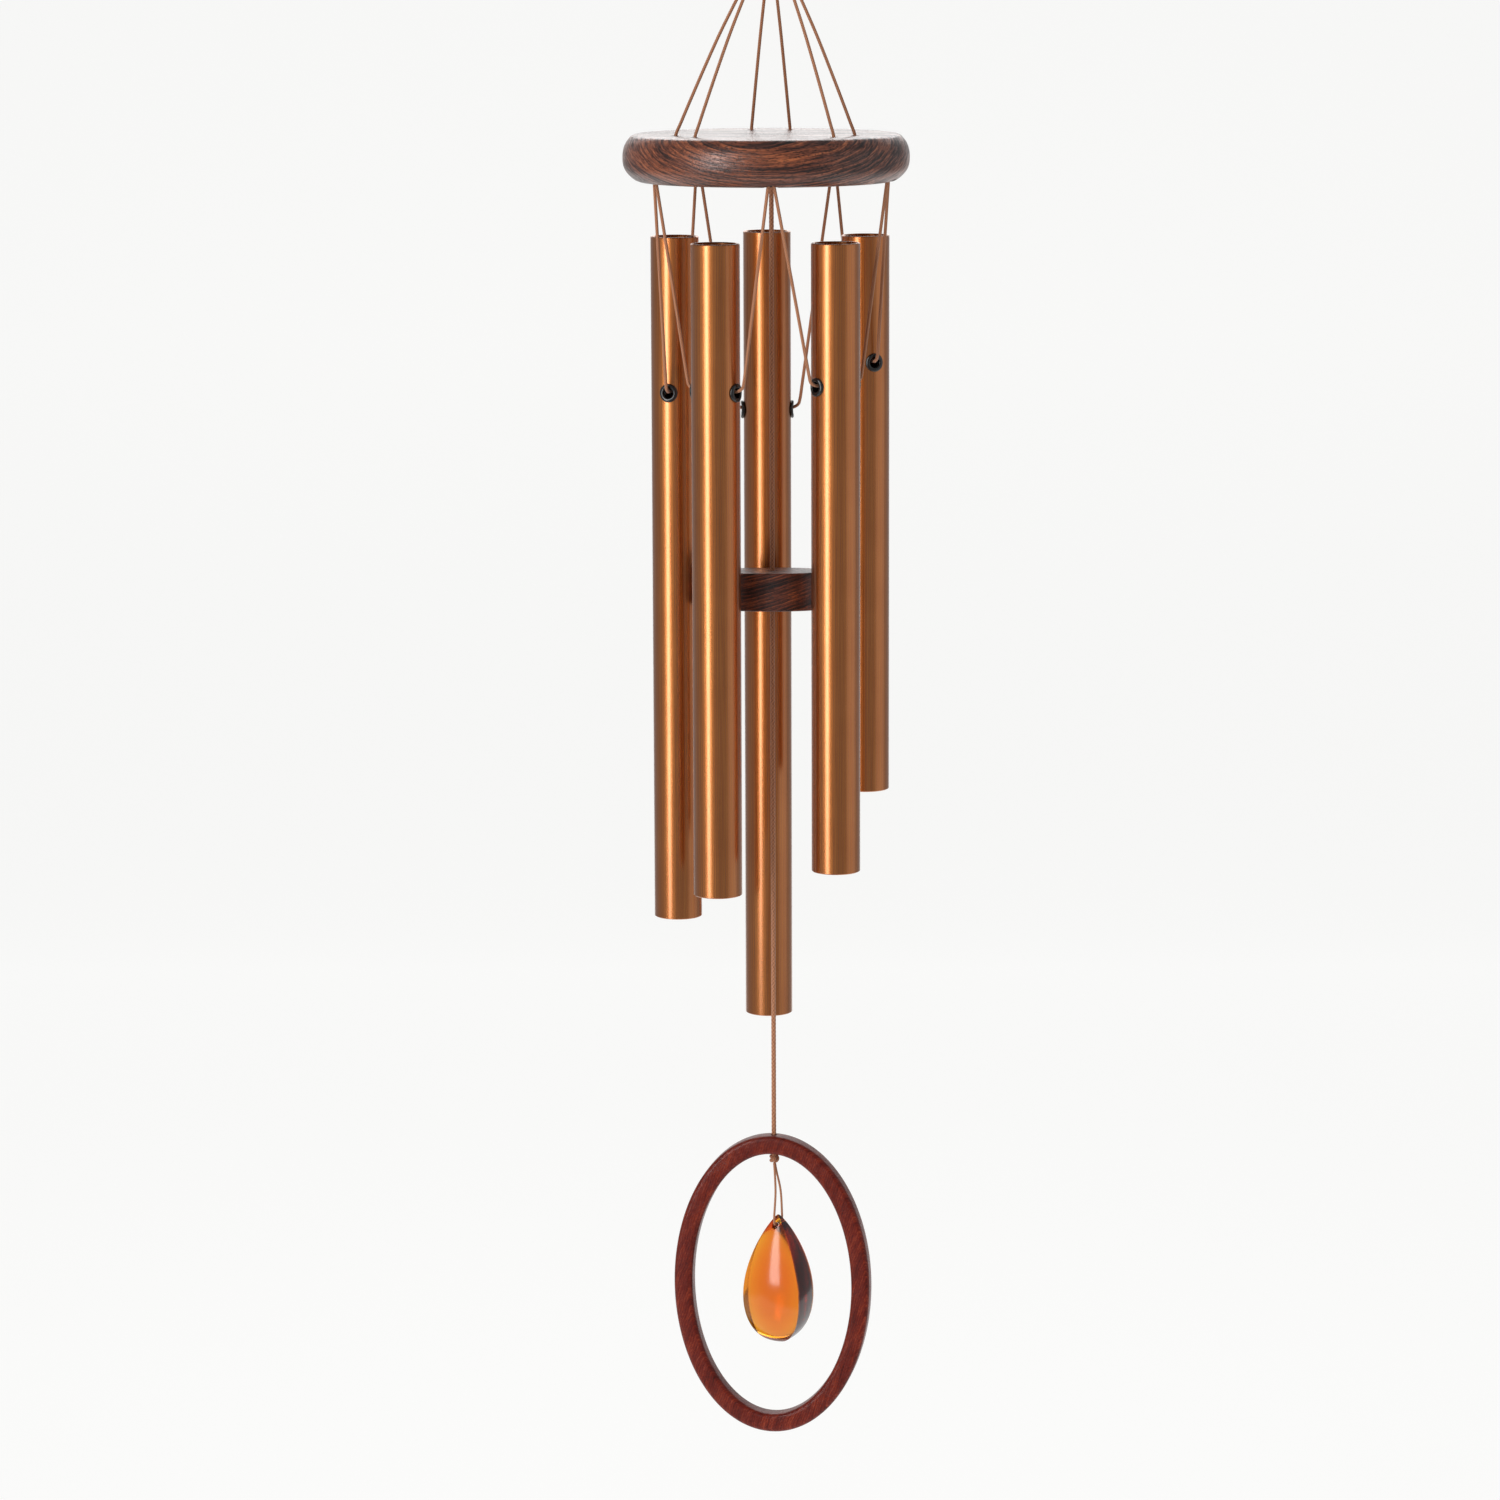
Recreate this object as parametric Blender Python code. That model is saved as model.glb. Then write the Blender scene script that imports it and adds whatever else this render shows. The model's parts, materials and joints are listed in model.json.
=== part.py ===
"""A five-tube wind chime that hangs from a steel ring.

Frame: metres, +Z up, the chime's front towards -Y. The origin is the point inside the top of the
hanging ring that rests on the hook. A turned disc hangs from the ring on three cord loops. Five tubes
hang from the disc, each on a cord through two grommets. A line at the middle carries the clapper, and
below it the oval sail ring with a glass drop in it.
"""

import math

import bmesh
import bpy
import numpy as np

GAP = 0.0003  # clearance kept between neighbouring pieces
SMOOTH_ANGLE = math.radians(40)

# Hanging ring
RING_OUTER = 0.022
RING_WIRE = 0.0026
RING_SWEEP = (RING_OUTER - RING_WIRE) / 2
WIRE_Z = -(RING_OUTER / 2 - RING_WIRE) - RING_SWEEP

# Top disc: a turned wooden disc with a barrelled rim
DISC_RADIUS = 0.056
DISC_THICKNESS = 0.018
DISC_X = -0.002  # the disc's middle lies this far left of the line through ring, clapper and sail
DISC_DROP = 0.080  # from the ring's lower wire to the disc's top face
DISC_TOP_Z = WIRE_Z - DISC_DROP
DISC_BOTTOM_Z = DISC_TOP_Z - DISC_THICKNESS
RIM_DRAW_TOP = 0.004  # how far the rim draws in at the top and bottom edges
RIM_DRAW_BOTTOM = 0.0056

# Suspension: three loops over the ring's wire, each down through two holes near the disc's rim
CORD = 0.0013
LOOP_CIRCLE = 0.037
LOOP_SPREAD = 12.0  # degrees from the middle of a pair of holes to each hole
LOOPS = (("back", 87.0, 0.0), ("left", 210.0, -1.0), ("right", 327.0, 1.0))
LOOP_PITCH = CORD + GAP  # spacing of the loops along the wire
LOOP_HOLE = 0.0030
KNOT_RECESS = 0.0064
KNOT_RECESS_DEPTH = 0.0065
STOP_KNOT = 0.0040

# Tubes: brushed aluminium, each hung at its node, 22.4 % of its length from the top
TUBE_OUTER = 0.01905
TUBE_WALL = 0.0012
TUBE_CIRCLE = 0.0395
TUBE_TURN = 2.6  # degrees that the ring of tubes is turned from having one tube straight behind
TUBE_TOP_Z = DISC_TOP_Z - 0.0402
TUBES = ((1, 162.0, 0.272), (2, 234.0, 0.255), (3, 90.0, 0.318), (4, 306.0, 0.246), (5, 18.0, 0.221))
NODE_SHARE = 0.224
HALF_STEP = math.radians(36.0)  # from a tube to the lacing holes beside it

# Lacing: each tube's cord runs from one lacing hole through the tube to the next lacing hole
LACE_CIRCLE = TUBE_CIRCLE / math.cos(HALF_STEP)
LACE_HOLE = 0.0054
LACE_DEPTH = 0.0060
LACE_SEAT = 0.0025  # the cord's end sits this far up its hole
LACE_OFFSET = 0.0010  # two cords share a hole, each this far towards its own tube
LACE_DRIFT = {198: 0.0, 270: -0.0024, 126: 0.0010, 342: -0.0012, 54: -0.0016}  # sideways error of each hole

# Grommets: black, pressed into the tube's two side holes
GROMMET_OUTER = 0.0073
GROMMET_BORE = 0.0040
GROMMET_NECK = 0.0054
GROMMET_HOLE = 0.0060
GROMMET_LIP = 0.0011

# Clapper: a small disc on the middle line
LINE = 0.0019
CLAPPER_RADIUS = 0.0225
CLAPPER_THICKNESS = 0.015
CLAPPER_TOP_Z = DISC_TOP_Z - 0.1714
CLAPPER_TILT = 4.5  # degrees, front edge up
CLAPPER_HOLE = 0.0038
LINE_KNOT = 0.0036
LINE_KNOT_Z = DISC_BOTTOM_Z + 0.0030
CLAPPER_KNOT_Z = CLAPPER_TOP_Z - CLAPPER_THICKNESS + 0.0026

# Sail: an oval wooden ring
SAIL_TURN = -10.0
SAIL_WIDTH = 0.080
SAIL_HEIGHT = 0.1232
SAIL_BAND = 0.0075
SAIL_DEPTH = 0.0084
SAIL_EDGE = 0.0012
SAIL_TOP_Z = DISC_TOP_Z - 0.4003
SAIL_SHIFT = -0.0006  # the ring hangs this far off the line, since the drop hangs off it the other way
SAIL_HOLE = 0.0026
SAIL_KNOT = 0.0040
SAIL_KNOT_Z = SAIL_TOP_Z - SAIL_BAND - GAP - SAIL_KNOT / 2

# Glass drop
LOOP_CORD = 0.0009
DROP_TURN = -25.0
DROP_WIDTH = 0.0246
DROP_HEIGHT = 0.0530
DROP_SHIFT = 0.0016  # the loop leaves the knot at its side, so the drop hangs this far off the line
DROP_SIDE = 0.0146  # depth of the side band at its deepest
DROP_DOME = 0.0021  # rise of the front and back faces
DROP_TOP_Z = DISC_TOP_Z - 0.4332
DROP_HOLE = 0.0026
DROP_HOLE_DROP = 0.0042  # from the tip down to the hole's axis


def material(name, colour, roughness, metallic=0.0):
    """A Principled material of one colour."""
    made = bpy.data.materials.new(name)
    made.use_nodes = True
    shader = made.node_tree.nodes["Principled BSDF"]
    shader.inputs["Base Color"].default_value = (*colour, 1.0)
    shader.inputs["Roughness"].default_value = roughness
    shader.inputs["Metallic"].default_value = metallic
    return made


def pivot(name, location, parent=None, turn=0.0):
    """An empty on a joint's axis, which carries what moves about it. Its location is in its parent's frame."""
    empty = bpy.data.objects.new(name, None)
    empty.empty_display_size = 0.01
    empty.location = location
    empty.rotation_euler = (0.0, 0.0, math.radians(turn))
    empty.parent = parent
    bpy.context.scene.collection.objects.link(empty)
    return empty


def mesh_object(name, build, finish, parent):
    """A named object whose mesh is what the given bmesh holds."""
    bmesh.ops.recalc_face_normals(build, faces=build.faces)
    mesh = bpy.data.meshes.new(name)
    build.to_mesh(mesh)
    build.free()
    mesh.materials.append(finish)
    mesh.shade_smooth()
    mesh.set_sharp_from_angle(angle=SMOOTH_ANGLE)
    made = bpy.data.objects.new(name, mesh)
    made.parent = parent
    bpy.context.scene.collection.objects.link(made)
    return made


def turned(profile, steps, closed):
    """A bmesh turned about Z from (radius, height) pairs. A closed profile gives a ring, and an open one
    starts and ends on the axis."""
    build = bmesh.new()
    points = [build.verts.new((radius, 0.0, height)) for radius, height in profile]
    edges = [build.edges.new(pair) for pair in zip(points, points[1:])]
    if closed:
        edges.append(build.edges.new((points[-1], points[0])))
    bmesh.ops.spin(
        build, geom=points + edges, cent=(0, 0, 0), axis=(0, 0, 1), angle=2 * math.pi, steps=steps,
        use_merge=True,
    )
    bmesh.ops.remove_doubles(build, verts=build.verts, dist=1e-6)
    return build


def lofted(rings, capped):
    """A bmesh skinned over rings of points. Capped rings end in a point at each end, and others close
    into a loop."""
    build = bmesh.new()
    rows = [[build.verts.new(point) for point in ring] for ring in rings]
    pairs = list(zip(rows, rows[1:]))
    if not capped:
        pairs.append((rows[-1], rows[0]))
    for first, second in pairs:
        for k in range(len(first)):
            build.faces.new((first[k - 1], first[k], second[k], second[k - 1]))
    if capped:
        for row in (rows[0], rows[-1]):
            middle = np.mean([vert.co for vert in row], axis=0)
            tip = build.verts.new(middle)
            for k in range(len(row)):
                build.faces.new((row[k - 1], row[k], tip))
    return build


def cutter(name, build, parent):
    """A hidden tool for a Boolean."""
    bmesh.ops.recalc_face_normals(build, faces=build.faces)
    mesh = bpy.data.meshes.new(name)
    build.to_mesh(mesh)
    build.free()
    made = bpy.data.objects.new(name, mesh)
    made.parent = parent
    made.hide_render = True
    made.display_type = "WIRE"
    bpy.context.scene.collection.objects.link(made)
    return made


def cut(piece, tool):
    """Takes the tool out of the piece."""
    modifier = piece.modifiers.new("Cut", "BOOLEAN")
    modifier.operation = "DIFFERENCE"
    modifier.solver = "EXACT"
    modifier.object = tool


def rod(start, end, radius, steps=14):
    """A bmesh cylinder between two points."""
    start, end = np.array(start), np.array(end)
    along = (end - start) / np.linalg.norm(end - start)
    side = np.cross(along, [0.0, 0.0, 1.0] if abs(along[2]) < 0.9 else [1.0, 0.0, 0.0])
    side /= np.linalg.norm(side)
    other = np.cross(along, side)
    turns = [2 * math.pi * k / steps for k in range(steps)]
    rings = [
        [middle + radius * (math.cos(a) * side + math.sin(a) * other) for a in turns]
        for middle in (start, end)
    ]
    return lofted(rings, capped=True)


def merged(builds):
    """One bmesh that holds several separate ones."""
    whole = bmesh.new()
    for build in builds:
        mesh = bpy.data.meshes.new("piece")
        build.to_mesh(mesh)
        build.free()
        whole.from_mesh(mesh)
        bpy.data.meshes.remove(mesh)
    return whole


def smooth_route(points, spacing):
    """Points along a smooth curve through the given ones, at most this far apart. Each span is a cubic
    whose end slopes follow its neighbours, weighted by the square roots of the spans' lengths."""
    points = np.array(points)
    first, last = 2 * points[0] - points[1], 2 * points[-1] - points[-2]
    held = np.vstack([first, points, last])
    knots = np.concatenate([[0.0], np.cumsum(np.sqrt(np.linalg.norm(np.diff(held, axis=0), axis=1)))])
    out = []
    for k in range(1, len(held) - 2):
        t0, t1, t2, t3 = knots[k - 1 : k + 3]
        count = max(1, math.ceil(np.linalg.norm(held[k + 1] - held[k]) / spacing))
        for t in np.linspace(t1, t2, count, endpoint=False):
            a1 = ((t1 - t) * held[k - 1] + (t - t0) * held[k]) / (t1 - t0)
            a2 = ((t2 - t) * held[k] + (t - t1) * held[k + 1]) / (t2 - t1)
            a3 = ((t3 - t) * held[k + 1] + (t - t2) * held[k + 2]) / (t3 - t2)
            b1 = ((t2 - t) * a1 + (t - t0) * a2) / (t2 - t0)
            b2 = ((t3 - t) * a2 + (t - t1) * a3) / (t3 - t1)
            out.append(((t2 - t) * b1 + (t - t1) * b2) / (t2 - t1))
    out.append(held[-2])
    return np.array(out)


def cord(name, points, diameter, finish, parent, knots=()):
    """A cord as a bevelled curve. Each knot is (point, diameter): the cord swells to it there."""
    curve = bpy.data.curves.new(name, "CURVE")
    curve.dimensions = "3D"
    curve.bevel_depth = diameter / 2
    curve.bevel_resolution = 2
    curve.use_fill_caps = True
    spline = curve.splines.new("POLY")
    spline.points.add(len(points) - 1)
    for held, point in zip(spline.points, points):
        held.co = (*point, 1.0)
        swell = 1.0
        for middle, across in knots:
            reach = np.linalg.norm(np.array(point) - np.array(middle)) / (across / 2)
            if reach < 1.0:
                swell = max(swell, across / diameter * math.sqrt(1.0 - 0.8 * reach**2))
        held.radius = swell
    curve.materials.append(finish)
    made = bpy.data.objects.new(name, curve)
    made.parent = parent
    bpy.context.scene.collection.objects.link(made)
    return made


def ball_knot(name, diameter, finish, parent):
    """A small tight knot, as a flattened ball."""
    build = bmesh.new()
    bmesh.ops.create_uvsphere(build, u_segments=10, v_segments=6, radius=diameter / 2)
    return mesh_object(name, build, finish, parent)


def hanging_ring(finish):
    """The steel ring, standing in the XZ plane with its inside top at the origin."""
    build = bmesh.new()
    for k in range(10):
        angle = 2 * math.pi * k / 10
        build.verts.new((RING_SWEEP + RING_WIRE / 2 * math.cos(angle), 0, RING_WIRE / 2 * math.sin(angle)))
    build.verts.ensure_lookup_table()
    edges = [build.edges.new((build.verts[k - 1], build.verts[k])) for k in range(10)]
    bmesh.ops.spin(
        build, geom=build.verts[:] + edges, cent=(0, 0, 0), axis=(0, 0, 1), angle=2 * math.pi, steps=30,
        use_merge=True,
    )
    bmesh.ops.remove_doubles(build, verts=build.verts, dist=1e-6)
    ring = mesh_object("hanging_ring", build, finish, None)
    ring.rotation_euler = (math.pi / 2, 0.0, 0.0)
    ring.location = (0.0, 0.0, WIRE_Z + RING_SWEEP)
    return ring


def loop_hole(angle):
    """Where a suspension hole stands on the disc, from the ring's lower wire."""
    turn = math.radians(angle)
    return np.array([DISC_X + LOOP_CIRCLE * math.cos(turn), LOOP_CIRCLE * math.sin(turn), -DISC_DROP])


def strand(hole, start):
    """One leg of a suspension loop: from the stopper knot up through the disc to the ring's wire."""
    lean = (start - hole) / np.linalg.norm(start - hole)
    below = np.array([0.0, 0.0, -1.0])
    return [
        hole + below * (DISC_THICKNESS - 0.0012),
        hole + below * (DISC_THICKNESS - 0.0032),
        hole + below * (DISC_THICKNESS - 0.0052),
        hole + below * 0.0050,
        hole + below * 0.0005 + lean * 0.0004,
        hole + lean * 0.0060,
        hole + lean * 0.0400,
        start + below * 0.0060 - (lean - below * -lean[2]) * 0.0026,
        start,
    ]


def suspension_loop(name, middle, side, finish, parent):
    """A loop of cord over the ring's lower wire, whose two ends are knotted under the disc."""
    across = side * LOOP_PITCH
    rise = RING_SWEEP - math.sqrt(RING_SWEEP**2 - across**2)
    radius = RING_WIRE / 2 + GAP + CORD / 2
    front, back = np.array([across, -radius, rise]), np.array([across, radius, rise])
    holes = [loop_hole(middle - LOOP_SPREAD), loop_hole(middle + LOOP_SPREAD)]
    holes.sort(key=lambda hole: (round(hole[1], 6), -hole[0]))
    turns = [math.radians(a) for a in (45.0, 90.0, 135.0)]
    over = [np.array([across, -radius * math.cos(a), rise + radius * math.sin(a)]) for a in turns]
    route = smooth_route(strand(holes[0], front) + over + strand(holes[1], back)[::-1], 0.016)
    knots = [(strand(hole, front)[1], STOP_KNOT) for hole in holes]
    return cord(name, route, CORD, finish, parent, knots)


def top_disc(finish, parent):
    """The turned disc, with its suspension holes, lacing holes and middle hole drilled."""
    share = np.linspace(0.0, 1.0, 9)
    draw = np.where(share < 0.5, RIM_DRAW_TOP, RIM_DRAW_BOTTOM) * np.abs(2 * share - 1) ** 2.6
    rim = [(DISC_RADIUS - d, -DISC_DROP - s * DISC_THICKNESS) for d, s in zip(draw, share)]
    profile = [(0.0, -DISC_DROP), *rim, (0.0, -DISC_DROP - DISC_THICKNESS)]
    disc = mesh_object("top_disc", turned(profile, 48, closed=False), finish, parent)
    disc.location = (DISC_X, 0.0, 0.0)
    bottom = -DISC_DROP - DISC_THICKNESS
    over = 0.002
    stepped = [
        (0.0, bottom - over),
        (KNOT_RECESS / 2, bottom - over),
        (KNOT_RECESS / 2, bottom + KNOT_RECESS_DEPTH),
        (LOOP_HOLE / 2, bottom + KNOT_RECESS_DEPTH),
        (LOOP_HOLE / 2, over - DISC_DROP),
        (0.0, over - DISC_DROP),
    ]
    tools = []
    for _, middle, _ in LOOPS:
        for angle in (middle - LOOP_SPREAD, middle + LOOP_SPREAD):
            build = turned(stepped, 12, closed=False)
            hole = loop_hole(angle)
            bmesh.ops.translate(build, verts=build.verts, vec=(hole[0] - DISC_X, hole[1], 0.0))
            tools.append(build)
    for angle in LACE_DRIFT:
        x, y = lace_hole(angle) - (DISC_X, 0.0)
        tools.append(rod((x, y, bottom - over), (x, y, bottom + LACE_DEPTH), LACE_HOLE / 2))
    middle = (-DISC_X, 0.0, bottom - over), (-DISC_X, 0.0, bottom + KNOT_RECESS_DEPTH)
    tools.append(rod(*middle, KNOT_RECESS / 2))
    drill = cutter("disc_drill", merged(tools), parent)
    drill.location = disc.location
    cut(disc, drill)
    return disc


def chime_tube(name, length, finish, parent):
    """A tube about the hinge through its two grommets, which lies along Y. X points out from the middle."""
    above, below = NODE_SHARE * length, (NODE_SHARE - 1.0) * length
    outer, inner, edge = TUBE_OUTER / 2, TUBE_OUTER / 2 - TUBE_WALL, 0.0003
    profile = [
        (inner, below + edge),
        (inner + edge, below),
        (outer - edge, below),
        (outer, below + edge),
        (outer, above - edge),
        (outer - edge, above),
        (inner + edge, above),
        (inner, above - edge),
    ]
    tube = mesh_object(name, turned(profile, 24, closed=True), finish, parent)
    drill = rod((0.0, -TUBE_OUTER, 0.0), (0.0, TUBE_OUTER, 0.0), GROMMET_HOLE / 2)
    cut(tube, cutter(name + "_drill", drill, parent))
    return tube


def grommet(name, side, finish, parent):
    """A grommet about Y: a neck through the tube's wall and a rolled lip outside it."""
    outer = TUBE_OUTER / 2
    seat = outer + 0.0002
    lip, roll = GROMMET_OUTER / 2, GROMMET_LIP
    neck, bore = GROMMET_NECK / 2, GROMMET_BORE / 2
    inside = math.sqrt((outer - TUBE_WALL) ** 2 - neck**2) - 0.0008
    profile = [
        (bore, inside),
        (neck, inside),
        (neck, seat),
        (lip, seat),
        (lip, seat + 0.5 * roll),
        ((lip + bore) / 2, seat + roll),
        (bore, seat + 0.5 * roll),
    ]
    piece = mesh_object(name, turned(profile, 16, closed=True), finish, parent)
    piece.rotation_euler = (-side * math.pi / 2, 0.0, 0.0)
    return piece


def lace_hole(angle):
    """The middle of the lacing hole at this angle round the chime."""
    turn = math.radians(angle + TUBE_TURN)
    return np.array([LACE_CIRCLE * math.cos(turn) + LACE_DRIFT[angle], LACE_CIRCLE * math.sin(turn)])


def lacing_side(out, across, drop):
    """Half of a tube's cord, from its hole down to the tube's middle: (out, across, height)."""
    face = TUBE_OUTER / 2
    turn_in = face + 0.0036
    lean = (across - turn_in) / (drop - 0.0045)
    side = [
        (across, 0.0),
        (across - 0.0010 * lean, -0.0010),
        (across - 0.012 * lean, -0.012),
        (across - 0.55 * drop * lean, -0.55 * drop),
        (turn_in + 0.005 * lean, -drop + 0.0090),
        (turn_in, -drop + 0.0042),
        (turn_in - 0.0007, -drop + 0.0020),
        (face + 0.0008, -drop + 0.0007),
        (face - 0.0022, -drop + 0.0004),
    ]
    return [(out * max(0.0, 1.0 + height / (drop - 0.006)), far, height) for far, height in side]


def lacing_route(angle, drop):
    """A tube's cord from the hinge at the top of its V. X points outwards, and Y from hole to hole."""
    turn = math.radians(angle + TUBE_TURN)
    out = np.array([math.cos(turn), math.sin(turn)])
    beside = np.array([-math.sin(turn), math.cos(turn)])
    halves = []
    for side in (-1, 1):
        hole = lace_hole(round(angle + side * 36) % 360) - TUBE_CIRCLE * out
        half = lacing_side(hole @ out, side * (hole @ beside) - LACE_OFFSET, drop)
        halves.append([(x, side * y, z) for x, y, z in half])
    return halves[0] + [(0.0, 0.0, -drop + 0.0003)] + halves[1][::-1]


def lacing_cord(name, angle, length, finish, parent):
    """A tube's cord, about the hinge through the two lacing holes. Y runs from hole to hole."""
    drop = DISC_BOTTOM_Z + LACE_SEAT - (TUBE_TOP_Z - NODE_SHARE * length)
    return cord(name, smooth_route(lacing_route(angle, drop), 0.014), CORD, finish, parent)


def clapper_disc(finish, parent):
    """The clapper, about the middle of its body, drilled for the line and for the knot under it."""
    radius, half, edge = CLAPPER_RADIUS, CLAPPER_THICKNESS / 2, 0.0009
    profile = [
        (0.0, half),
        (radius - edge, half),
        (radius - 0.3 * edge, half - 0.3 * edge),
        (radius, half - edge),
        (radius, edge - half),
        (radius - 0.3 * edge, 0.3 * edge - half),
        (radius - edge, -half),
        (0.0, -half),
    ]
    clapper = mesh_object("clapper", turned(profile, 36, closed=False), finish, parent)
    middle_z = CLAPPER_TOP_Z - half - LINE_KNOT_Z
    clapper.location = (0.0, 0.0, middle_z)
    clapper.rotation_euler = (-math.radians(CLAPPER_TILT), 0.0, 0.0)
    over = 0.002
    stepped = [
        (0.0, -half - over),
        (KNOT_RECESS / 2, -half - over),
        (KNOT_RECESS / 2, 0.006 - half),
        (CLAPPER_HOLE / 2, 0.006 - half),
        (CLAPPER_HOLE / 2, half + over),
        (0.0, half + over),
    ]
    drill = cutter("clapper_drill", turned(stepped, 12, closed=False), parent)
    drill.location = clapper.location
    drill.rotation_euler = clapper.rotation_euler
    cut(clapper, drill)
    return clapper


def sail_ring(finish, parent):
    """The oval ring, about the top of its rim. A rounded rectangle is carried round an oval."""
    half_band, half_depth, edge = SAIL_BAND / 2, SAIL_DEPTH / 2, SAIL_EDGE
    section = []
    corners = ((1, 1, 0.0), (-1, 1, 90.0), (-1, -1, 180.0), (1, -1, 270.0))
    for out, deep, start in corners:
        for step in (0.0, 45.0, 90.0):
            turn = math.radians(start + step)
            section.append((
                out * (half_band - edge) + edge * math.cos(turn),
                deep * (half_depth - edge) + edge * math.sin(turn),
            ))
    wide, tall = SAIL_WIDTH / 2 - half_band, SAIL_HEIGHT / 2 - half_band
    rings = []
    steps = 56
    for k in range(steps):
        turn = 2 * math.pi * k / steps
        middle = np.array([SAIL_SHIFT + wide * math.sin(turn), 0.0, tall * math.cos(turn) - SAIL_HEIGHT / 2])
        out = np.array([tall * math.sin(turn), 0.0, wide * math.cos(turn)])
        out /= np.linalg.norm(out)
        rings.append([middle + out * a + np.array([0.0, d, 0.0]) for a, d in section])
    ring = mesh_object("sail_ring", lofted(rings, capped=False), finish, parent)
    drill = rod((0.0, 0.0, 0.002), (0.0, 0.0, -SAIL_BAND - 0.002), SAIL_HOLE / 2, steps=12)
    cut(ring, cutter("sail_drill", drill, parent))
    return ring


def drop_width(turn, power):
    """The teardrop rule, from 0 at the tip through 1 at its widest: sin(t) * sin(t / 2) ** power."""
    widest = math.acos(-power / (2 + power))
    peak = math.sin(widest) * math.sin(widest / 2) ** power
    return math.sin(turn) * math.sin(turn / 2) ** power / peak


def glass_drop(finish, parent):
    """The teardrop, about the knot that it hangs from: domed front and back, and a band round the side."""
    rings = []
    tip = DROP_TOP_Z - SAIL_KNOT_Z
    for turn in np.linspace(0.06 * math.pi, 0.96 * math.pi, 16):
        half = DROP_WIDTH / 2 * drop_width(turn, 0.75)
        side = DROP_SIDE / 2 * drop_width(turn, 0.45)
        dome = DROP_DOME * drop_width(turn, 0.75)
        height = tip - DROP_HEIGHT * (1.0 - math.cos(turn)) / 2
        ring = []
        for front in (-1, 1):
            for u in np.linspace(-1.0, 1.0, 7)[:-1]:
                across = -front * u
                ring.append((across * half, front * (side + dome * (1.0 - u * u)), height))
            ring.append((-front * half, front * side, height))
            ring.append((-front * (half + 0.05 * side), 0.0, height))
        rings.append([drop_shift() + point for point in ring])
    drop = mesh_object("glass_drop", lofted(rings, capped=True), finish, parent)
    hole = tip - DROP_HOLE_DROP
    reach = np.array([0.0, 0.01, 0.0])
    middle = drop_shift() + (0.0, 0.0, hole)
    cut(drop, cutter("drop_drill", rod(middle - reach, middle + reach, DROP_HOLE / 2), parent))
    return drop


def drop_shift():
    """The drop's shift to the side, in the frame that is turned with the drop."""
    turn = math.radians(-DROP_TURN)
    return DROP_SHIFT * np.array([math.cos(turn), math.sin(turn), 0.0])


def drop_loop_route():
    """The loop from the knot down through the drop's hole and back. Y runs from front to back."""
    hole = DROP_TOP_Z - DROP_HOLE_DROP - SAIL_KNOT_Z
    start = SAIL_KNOT / 2 + GAP + LOOP_CORD / 2
    side = [
        (0.0006, -start),
        (0.0009, -0.0060),
        (0.0024, 0.5 * hole),
        (0.0037, hole + 0.0040),
        (0.0038, hole + 0.0022),
        (0.0034, hole + 0.0008),
        (0.0020, hole + 0.0004),
    ]
    front, back = [], []
    for far, height in side:
        shift = drop_shift() * min(1.0, height / (0.5 * hole))
        front.append(shift + (0.0, -far, height))
        back.append(shift + (0.0, far, height))
    return front + [drop_shift() + (0.0, 0.0, hole + 0.0004)] + back[::-1]


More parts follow.
